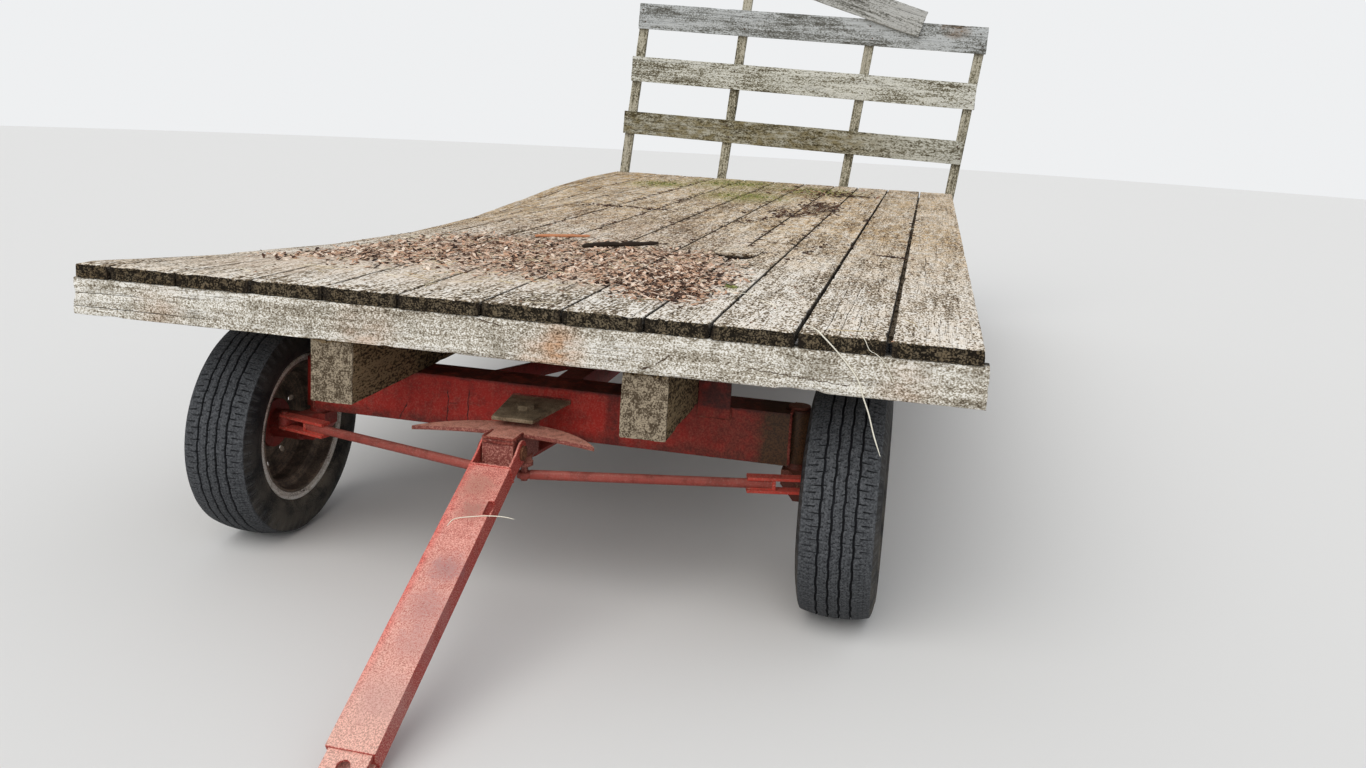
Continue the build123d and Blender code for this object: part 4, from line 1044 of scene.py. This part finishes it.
for material, bevel, nodes in (
    (beam_red, 0.0018, "front_axle_beam"), (gear_red, 0.0018, "rear_axle_beam"),
    (gear_red, 0.0015, "reach_pole reach_sleeve"), (gear_red, 0.0012, "front_hounds rear_hounds"),
    (olive_steel, 0.0014, "bracket_top_plate"), (gear_red, 0.0014, "bracket_low_plate knuckle_l"),
    (olive_steel, 0.001, "pivot_bolt"), (head_red, 0.0014, "steering_head"), (tongue_red, 0.0018, "tongue"),
    (rust_steel, 0.0008, "tongue_pin"), (tongue_red, 0.0012, "hitch_strap_top hitch_strap_low"),
    (knuckle_brown, 0.0014, "knuckle_r"), (rod_red, 0.0008, "tie_rod_l tie_rod_r"),
    (yoke_red, 0.001, "rod_yoke_l rod_yoke_r"), (front_rim_steel, 0.0, "rim_fl rim_fr"),
    (rear_rim_steel, 0.0, "rim_rl rim_rr"), (hub_red, 0.0, "hub_fl hub_fr hub_rl hub_rr"),
):
    for node in nodes.split():
        dress(node, material, bevel)


# Small pieces
class Heap:
    """Many small meshes shown as one piece, each with its tone."""

    def __init__(self):
        self.points = []
        self.faces = []
        self.tones = []
        self.count = 0

    def add(self, points, faces, tone=0.5):
        self.points.append(np.asarray(points))
        self.faces += [[vertex + self.count for vertex in face] for face in faces]
        self.tones.append(np.full(len(points), tone, float))
        self.count += len(points)

    def show(self, name, material, body="chassis"):
        values = {"tone": np.concatenate(self.tones)}
        return make_object(name, np.concatenate(self.points), self.faces, material, body, values)


def bar(path, radii, sides=8):
    """Points and faces of a closed round bar along a path."""
    ahead = np.gradient(path, axis=0)
    ahead /= np.linalg.norm(ahead, axis=1)[:, None]
    turn = np.arange(sides) * 2 * pi / sides
    side = np.cross(ahead[0], (0.31, 0.17, 0.93))
    rings = []
    for centre, direction, radius in zip(path, ahead, radii):
        side = side - direction * (side @ direction)
        side /= np.linalg.norm(side)
        other = np.cross(direction, side)
        rings.append(centre + radius * (np.cos(turn)[:, None] * side + np.sin(turn)[:, None] * other))
    return np.concatenate(rings), capped(len(path), sides)


def smooth_path(corners, spacing=0.006):
    """Points about evenly along a smooth curve through the corners."""
    corners = np.asarray(corners, float)
    ends = np.concatenate([corners[:1] * 2 - corners[1:2], corners, corners[-1:] * 2 - corners[-2:-1]])
    path = []
    for before, start, end, after in zip(ends, ends[1:], ends[2:], ends[3:]):
        steps = max(1, ceil(np.linalg.norm(end - start) / spacing))
        t = (np.arange(steps) / steps)[:, None]
        path.append(0.5 * (2 * start + (end - before) * t + (2 * before - 5 * start + 4 * end - after) * t ** 2
                           + (3 * start - before - 3 * end + after) * t ** 3))
    return np.concatenate(path + [corners[-1:]])


deck_points = []
deck_faces = []
for piece in plank_pieces:
    first = len(deck_points)
    deck_points += [vertex.co[:] for vertex in piece.data.vertices]
    deck_faces += [[vertex + first for vertex in face.vertices] for face in piece.data.polygons]
deck_tree = BVHTree.FromPolygons(deck_points, deck_faces)
ABOVE_DECK = 1.2
BELOW_DECK = 0.6


def on_deck(x, y):
    """Height of the deck's boards at a place in metres, or None over a gap."""
    hit = deck_tree.ray_cast(Vector((x, y, ABOVE_DECK)), Vector((0, 0, -1)))[0]
    return hit.z if hit is not None and hit.z > BELOW_DECK else None


SCRAP = np.array([(-0.5, 0.05), (0.05, -0.5), (0.5, -0.1), (0.34, 0.36), (-0.12, 0.5)])
SCRAP_FACES = [[4, 3, 2, 1, 0], [5, 6, 7, 8, 9]] + [[k, (k + 1) % 5, 5 + (k + 1) % 5, 5 + k] for k in range(5)]


def scraps(heap, places, sizes, tones, lean=12.0, lift=0.0):
    """Lay thin five-cornered scraps on the deck at the given places, in metres."""
    for place, size, tone in zip(places, sizes, tones):
        turn = rng.uniform(0, 2 * pi)
        tip = radians(lean) * rng.uniform(-1, 1)
        corners = SCRAP * (0.7 + 0.6 * rng.random((5, 1))) * size[:2]
        height = on_deck(*place)
        extra = rng.uniform(0, lift) if lift else 0.0
        if height is None:
            continue
        local = np.zeros((10, 3))
        local[:5, :2] = corners
        local[5:, :2] = corners * 0.86
        local[5:, 2] = size[2]
        local[:, 2] += local[:, 0] * sin(tip)
        local[:, 2] -= local[:, 2].min() + 0.0003
        spin = np.array(((cos(turn), sin(turn), 0), (-sin(turn), cos(turn), 0), (0, 0, 1)))
        heap.add(local @ spin + np.array([place[0], place[1], height + extra]), SCRAP_FACES, tone)


def scatter(area, tries, soft, clump, seed):
    """Places, in metres, spread in an area with more of them where a slow noise is high."""
    corners = np.array(area)
    x, y = rng.uniform(corners.min(0) - soft, corners.max(0) + soft, (tries, 2)).T
    places = metres(x, y)
    drift = np.clip(0.5 + 1.1 * waves(x / 90, y / 70, seed=seed, octaves=3), 0, 1)
    share = area_share(area, places, soft) * (1 - clump + clump * drift * 2)
    return places[rng.random(tries) < share]


def scrap_sizes(count, long_low, long_high, thick=0.0011):
    longs = rng.uniform(long_low, long_high, count)
    return np.stack([longs, longs * rng.uniform(0.25, 0.6, count), thick * rng.uniform(0.6, 1.5, count)], -1)


LITTER_SIDE = 1110
LITTER_FRONT = 12
LITTER_BACK = 4885


def deck_places(places):
    """Places in metres from places in millimetres, kept on the deck."""
    x, y = np.asarray(places, float).T
    return metres(np.clip(x, -LITTER_SIDE, LITTER_SIDE), np.clip(y, LITTER_FRONT, LITTER_BACK))


chaff = Heap()
CHAFF_CLUSTER = ((250, 240), (430, 300), (450, 700), (330, 840), (200, 700), (180, 380))
WHOLE_DECK = ((-1120, 20), (1120, 20), (1120, 3200), (-1120, 3200))
for area, tries, soft, clump, dark in ((CHAFF_AREA, 7400, 100, 0.6, 0.42),
                                       (CHAFF_CLUSTER, 2300, 60, 0.4, 0.50)):
    places = scatter(area, tries, soft, clump, 61)
    count = len(places)
    # The dark share of flakes takes the darkest tones: partly dark chaff, partly painted shadow between the
    # clumps.
    tones = np.where(rng.random(count) < dark, rng.uniform(0, 0.3, count), rng.uniform(0.5, 1, count))
    scraps(chaff, places, scrap_sizes(count, 0.010, 0.027), tones, 24.0)
for area, tries in ((WHOLE_DECK, 900), (TAN_AREA, 500)):
    places = scatter(area, tries, 20, 0.8, 67)
    scraps(chaff, places, scrap_sizes(len(places), 0.005, 0.013), rng.random(len(places)) * 0.6, 8.0)
chaff.show("hay_chaff", chaff_plant)

litter = Heap()
for index in range(1, PLANKS):
    gap_x = (PLANK_BOXES[index][1].x + PLANK_BOXES[index - 1][0].x) / 2
    for _ in range(58 if 2 < index < 9 else 20):
        y = FRONT_Y + rng.uniform(1.3, 4.9)
        place = (gap_x + rng.choice((-1, 1)) * rng.uniform(0.006, 0.016), y)
        scraps(litter, [place], scrap_sizes(1, 0.008, 0.03, 0.002), [rng.uniform(0, 0.2)], 6.0)
for start, end, count, wide in (
    ((-560, 2570), (-150, 2600), 110, 24), ((830, 1500), (940, 1488), 34, 14),
    ((178, 2222), (440, 3000), 80, 22), ((-30, 1300), (90, 1340), 40, 20), ((726, 2740), (730, 2830), 24, 8),
    ((330, 1190), (470, 1330), 40, 16), ((560, 1130), (640, 1750), 26, 10),
):
    share = rng.random(count)
    places = np.array(start) + (np.array(end) - np.array(start)) * share[:, None]
    places = deck_places(places + rng.normal(0, wide, (count, 2)))
    scraps(litter, places, scrap_sizes(count, 0.008, 0.026, 0.002), rng.random(count) * 0.22, 8.0)
for middle, spread, count, rise, light in (
    ((470, 3250), (55, 190), 170, 0.012, 0.3), ((380, 4300), (130, 210), 150, 0.008, 0.6),
    ((356, 2845), (60, 110), 60, 0.006, 0.3), ((560, 4250), (70, 60), 60, 0.006, 0.2),
):
    places = deck_places(np.array(middle) + rng.normal(0, 1, (count, 2)) * spread)
    scraps(litter, places, scrap_sizes(count, 0.012, 0.045, 0.0016), rng.random(count) * light, 16.0, rise)
litter.show("leaf_litter", chaff_plant)

mossy = Heap()
for spot_x, spot_y, size in MOSS_SPOTS:
    count = int(size * 0.5) + 14
    places = np.array((spot_x, spot_y)) + rng.normal(0, 0.42, (count, 2)) * size
    scraps(mossy, deck_places(places), scrap_sizes(count, 0.006, 0.020, 0.0022), rng.random(count), 20.0)
mossy.show("moss_tufts", moss_plant)


def stalk(heap, corners, radius, tone, sides=6, wobble=0.0):
    """A dry stalk through places in millimetres; without heights it lies on the deck."""
    path = []
    for corner in corners:
        if len(corner) == 2:
            x, y = metres(*np.array(corner))
            heights = [found for found in (on_deck(x + step, y) for step in (0.0, 0.016, -0.016)) if found]
            if not heights:
                return
            path.append((x, y, heights[0] + radius * 0.8))
        else:
            path.append(tuple(at(*corner)))
    path = smooth_path(path, 0.012)
    places = np.arange(len(path))
    radii = radius * (1 + wobble * waves(places * 0.6, radius * 9999, seed=5)) * np.interp(
        places / (len(path) - 1), (0, 0.1, 0.9, 1), (0.6, 1, 0.9, 0.4))
    heap.add(*bar(path, radii, sides), tone)


straws = Heap()
for _ in range(230):
    if rng.random() < 0.62:
        x, y = rng.uniform(-800, 460), rng.uniform(200, 1250)
    else:
        x, y = rng.uniform(-1050, 1080), rng.uniform(60, 4700)
    length = rng.uniform(35, 130)
    turn = rng.uniform(0, pi)
    bend = rng.uniform(-0.15, 0.15) * length
    reach_x, reach_y = cos(turn) * length / 2, sin(turn) * length / 2
    middle = (x - sin(turn) * bend, y + cos(turn) * bend)
    corners = [(x - reach_x, y - reach_y), middle, (x + reach_x, y + reach_y)]
    stalk(straws, corners, rng.uniform(0.0007, 0.0013), rng.random(), 5)
for corners, radius in (
    (((589, 375), (640, 300), (654, 225)), 0.0011),
    (((430, 470), (520, 462), (560, 455)), 0.0012),
    (((1010, 2300), (1000, 2200), (1004, 2080)), 0.0012),
    (((742, 60, 842), (772, 12, 843), (789, -3.5, 833), (829, -3.6, 795), (871, -4.2, 746), (887, -5, 706),
      (903, -8, 668), (918, -13, 622), (936, -20, 578)), 0.0017),
    (((905, -3.2, 806), (924, -3.4, 792), (940, -3.2, 766), (953, -3.2, 741)), 0.0010),
    (((862, 30, 842), (880, -2, 836), (893, -3, 812), (905, -3, 806)), 0.0009),
):
    stalk(straws, corners, radius, 1.0)
straws.show("straw_stalks", straw_plant)

sticks = Heap()
stalk(sticks, ((-344, 1250), (-262, 1310), (-181, 1372)), 0.0060, 1.0, 8, 0.25)
stalk(sticks, ((-112, 1062), (-60, 1150), (-10, 1205), (89, 1301)), 0.0090, 0.0, 8, 0.4)
sticks.show("fallen_sticks", stick_plant)

# A layer of the deck lifted at its broken front: its rows run from under the front edge to its back
LIFT_FRONT = ((300, 1236, 3), (326, 1172, 9), (352, 1136, 15), (388, 1116, 18), (420, 1122, 17),
              (440, 1160, 12), (452, 1230, 6))
LIFT_BACK_Y = 1460
LIFT_ROWS = (-1.0, -0.6, 0.0, 0.02, 0.25, 0.55, 0.85, 1.0)
lift_points = []
lift_values = {"grain": [], "shade": [], "crack": [], "stain": []}


def lift_point(point, shade, crack, stain):
    lift_points.append(point)
    for key, value in (("grain", point[:]), ("shade", shade), ("crack", crack), ("stain", stain)):
        lift_values[key].append(value)


front_line = smooth_path(LIFT_FRONT, 9.0)
for share in LIFT_ROWS:
    for k, (x, y, rise) in enumerate(front_line):
        place_y = y + 5.0 * sin(k * 1.9) * cos(k * 0.7) + (LIFT_BACK_Y - y) * max(share, 0.0)
        height = rise * (1 - share) + 0.4 if share >= 0 else rise * (1 + share) * 0.8 - 0.8
        point = at(x, place_y - (4 if share == 0.0 else 0), height) + Vector((0, 0, DECK_TOP))
        # The front lip's two lower rows take the dark crack colour: painted shadow under the lifted edge.
        lift_point(point, 0.1, 1.0 if share <= -0.5 else 0.0, 0.6)
across = len(front_line)
last_row = len(LIFT_ROWS) - 1
lift_faces = [face[::-1] for face in ring_faces(len(LIFT_ROWS), across, False)]
under = len(lift_points)
# The underside takes the dark crack colour as well: painted shadow under the layer.
for row in (0, last_row):
    for k in range(across):
        point = lift_points[row * across + k]
        lift_point(Vector((point.x, point.y, DECK_TOP - 0.003)), 0.0, 1.0, 0.0)
for k in range(across - 1):
    top, low_front, low_back = last_row * across + k, under + k, under + across + k
    lift_faces += [[low_front, low_front + 1, k + 1, k], [low_back + 1, low_back, top, top + 1],
                   [low_front, low_back, low_back + 1, low_front + 1]]
for end in (0, across - 1):
    side = [row * across + end for row in range(len(LIFT_ROWS))] + [under + across + end, under + end]
    lift_faces.append(side if end == 0 else side[::-1])
make_object("deck_lifted_layer", lift_points, lift_faces, deck_wood, "chassis", lift_values,
            sharp=50.0)

# Nails: two in each plank at each bearer, and two at each crossing of the rack
nails = Heap()
NAIL_INSET = 0.030
END_NAIL = 0.025
HEAD_SIDES = 8
HEAD_RINGS = ((0.0, 1.0), (0.45, 0.94), (0.85, 0.6), (1.0, 0.2))


def nail_head(place, outward, radius=0.0042, rise=0.0013):
    """A low domed nail head."""
    turn = Vector(outward).to_track_quat("Z", "Y").to_matrix()
    rings = []
    for height, wide in HEAD_RINGS:
        for k in range(HEAD_SIDES):
            angle = 2 * pi * k / HEAD_SIDES
            local = (radius * wide * cos(angle), radius * wide * sin(angle), (height * 1.6 - 0.6) * rise)
            rings.append(Vector(place) + turn @ Vector(local))
    nails.add(rings, capped(len(HEAD_RINGS), HEAD_SIDES))


for low, high in PLANK_BOXES:
    for place in [END_NAIL] + BEAM_PLACES + [DECK_END - END_NAIL]:
        for x in (low.x + NAIL_INSET, high.x - NAIL_INSET):
            y = FRONT_Y + place + rng.uniform(-0.008, 0.008)
            x += rng.uniform(-0.006, 0.006)
            height = on_deck(x, y)
            if height is not None:
                nail_head((x, y, height), (0, 0, 1))
for rail in RAIL_WIDTHS:
    rail_low, rail_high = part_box(rail)
    rail_middle = (rail_low + rail_high) / 2
    for stake, lean in STAKE_LEANS.items():
        stake_middle = sum(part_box(stake), Vector()) / 2
        x = stake_middle.x
        for _ in range(3):
            z = rail_middle.z - (x - rail_middle.x) * tan(RAIL_TILT)
            x = stake_middle.x + (z - stake_middle.z) * tan(radians(lean))
        for side, rise in ((-0.010, 0.040), (0.009, -0.038)):
            nail_head((x + side, rail_low.y, z + rise), (0, -1, 0), 0.0055, 0.0022)
nails.show("nail_heads", nail_steel)


# Welds on the running gear
def weld_bead(corners, radius, seed):
    """A rippled bead of weld along a path."""
    path = smooth_path(corners, 0.0028)
    places = np.arange(len(path))
    radii = radius * (1 + 0.16 * np.sin(places * 1.9) + 0.18 * waves(places * 0.31, seed, seed=seed))
    radii[[0, -1]] *= 0.45
    path = path + 0.0007 * np.stack([waves(places * 0.4, axis * 7.3, seed=seed) for axis in range(3)], -1)
    return bar(path, radii)


for name, body, material, place_at, radius, seed, beads in (
    ("axle_welds", "chassis", weld_steel, at, 0.004, 3, (
        ((-85, AXLE_FACE, 508), (85, AXLE_FACE, 508)), ((-85, AXLE_FACE, 498), (85, AXLE_FACE, 498)),
        ((440, AXLE_FACE, 509), (440, AXLE_FACE, 535)), ((528, AXLE_FACE, 509), (528, AXLE_FACE, 535)),
        ((438, 386, 508), (530, 386, 508)),
        ((-482, AXLE_FACE, 509), (-482, AXLE_FACE, 535)), ((-570, AXLE_FACE, 509), (-570, AXLE_FACE, 535)),
        ((-572, 386, 508), (-480, 386, 508)),
        ((-690, AXLE_FACE, 400), (-690, AXLE_FACE, 537)), ((690, AXLE_FACE, 400), (690, AXLE_FACE, 537)),
        ((-690, AXLE_FACE, 539), (-690, 508, 539)), ((690, AXLE_FACE, 539), (690, 508, 539)))),
    ("head_welds", "steering", weld_steel, at, 0.0035, 31, (
        ((-41, 72, 470), (41, 72, 470)), ((-41, 72, 480), (41, 72, 480)),
        ((-41, 76, 480), (-41, 140, 480)), ((41, 76, 480), (41, 140, 480)))),
    ("tongue_welds", "tongue", tongue_red, on_tongue, 0.0032, 51, (
        ((-46, -829, 21), (46, -829, 21)), ((-53, -78, TONGUE_FACE), (53, -78, TONGUE_FACE)),
        ((53, -80, -24), (53, -80, 24)), ((-53, -80, -24), (-53, -80, 24)))),
):
    heap = Heap()
    for index, corners in enumerate(beads):
        heap.add(*weld_bead([place_at(*corner) for corner in corners], radius, index + seed))
    heap.show(name, material, body)

# The torn corner's wall, bent in, and a stalk that lies across the tongue
FLAP_STATIONS = 9
flap_points = []
for y in np.linspace(-233, -185, FLAP_STATIONS):
    sink = 3.0 + 2.4 * cos((y + 209) / 24 * 1.5) + 0.8 * sin(y * 0.9)
    for x, z in ((36, 20), (45, 21.5 - sink), (52.4, 19 - 1.5 * sink), (51.8, 15 - 1.5 * sink),
                 (44, 17.5 - sink), (36, 15)):
        flap_points.append(on_tongue(x + 0.5 * sin(y * 1.7), y, z))
flap = Heap()
flap.add(flap_points, capped(FLAP_STATIONS, len(flap_points) // FLAP_STATIONS))
# The flap's darker red is painted shade on the bent-in wall.
flap.show("tongue_torn_flap", shaded_flap_red, "tongue")

tongue_stalk = Heap()
path = smooth_path([on_tongue(*corner) for corner in (
    (-30, -279, 26.4), (-20, -256, 26.8), (24, -241, 26.8), (54, -235, 27.6), (80, -232, 27.5),
    (100, -231, 26.5), (118, -232, 25))])
thinning = np.interp(np.linspace(0, 1, len(path)), (0, 0.1, 0.9, 1), (0.5, 1, 0.9, 0.4))
tongue_stalk.add(*bar(path, 0.0013 * thinning, 6), 0.9)
tongue_stalk.show("tongue_straw", straw_plant, "tongue")

# Floor and light
FLOOR_SIDES = 96
FLOOR_RADIUS = 26
g = Surface("floor_pale", 0.95, 0.1)
floor_colour = g.mix(g.seen("Glossy", "Transmission"), (0.42, 0.41, 0.39, 1.0), (0.80, 0.79, 0.77, 1.0))
g.put(floor_colour, g.shader.inputs["Base Color"])
floor_mesh = bpy.data.meshes.new("floor")
turns = [2 * pi * k / FLOOR_SIDES for k in range(FLOOR_SIDES)]
floor_mesh.from_pydata([(FLOOR_RADIUS * cos(turn), FLOOR_RADIUS * sin(turn), 0.0) for turn in turns], [],
                       [list(range(FLOOR_SIDES))])
floor_mesh.materials.append(g.owner)
shown("floor", floor_mesh)

bpy.context.scene.world = bpy.data.worlds.new("sky")
sky = Graph(bpy.context.scene.world, "Background")
sky_colour = sky.mix(sky.seen("Glossy"), (0.59, 0.61, 0.64, 1.0), (0.86, 0.87, 0.88, 1.0))
sky.put(sky_colour, sky.shader.inputs["Color"])
sky.put(1.0, sky.shader.inputs["Strength"])

lamp = bpy.data.lights.new("key_sun", "SUN")
lamp.energy = 1.75
lamp.angle = radians(55.0)
lamp.color = (1.0, 0.985, 0.96)
shown("key_sun", lamp).rotation_euler = Vector((-0.20, -0.90, 0.80)).to_track_quat("Z", "Y").to_euler()
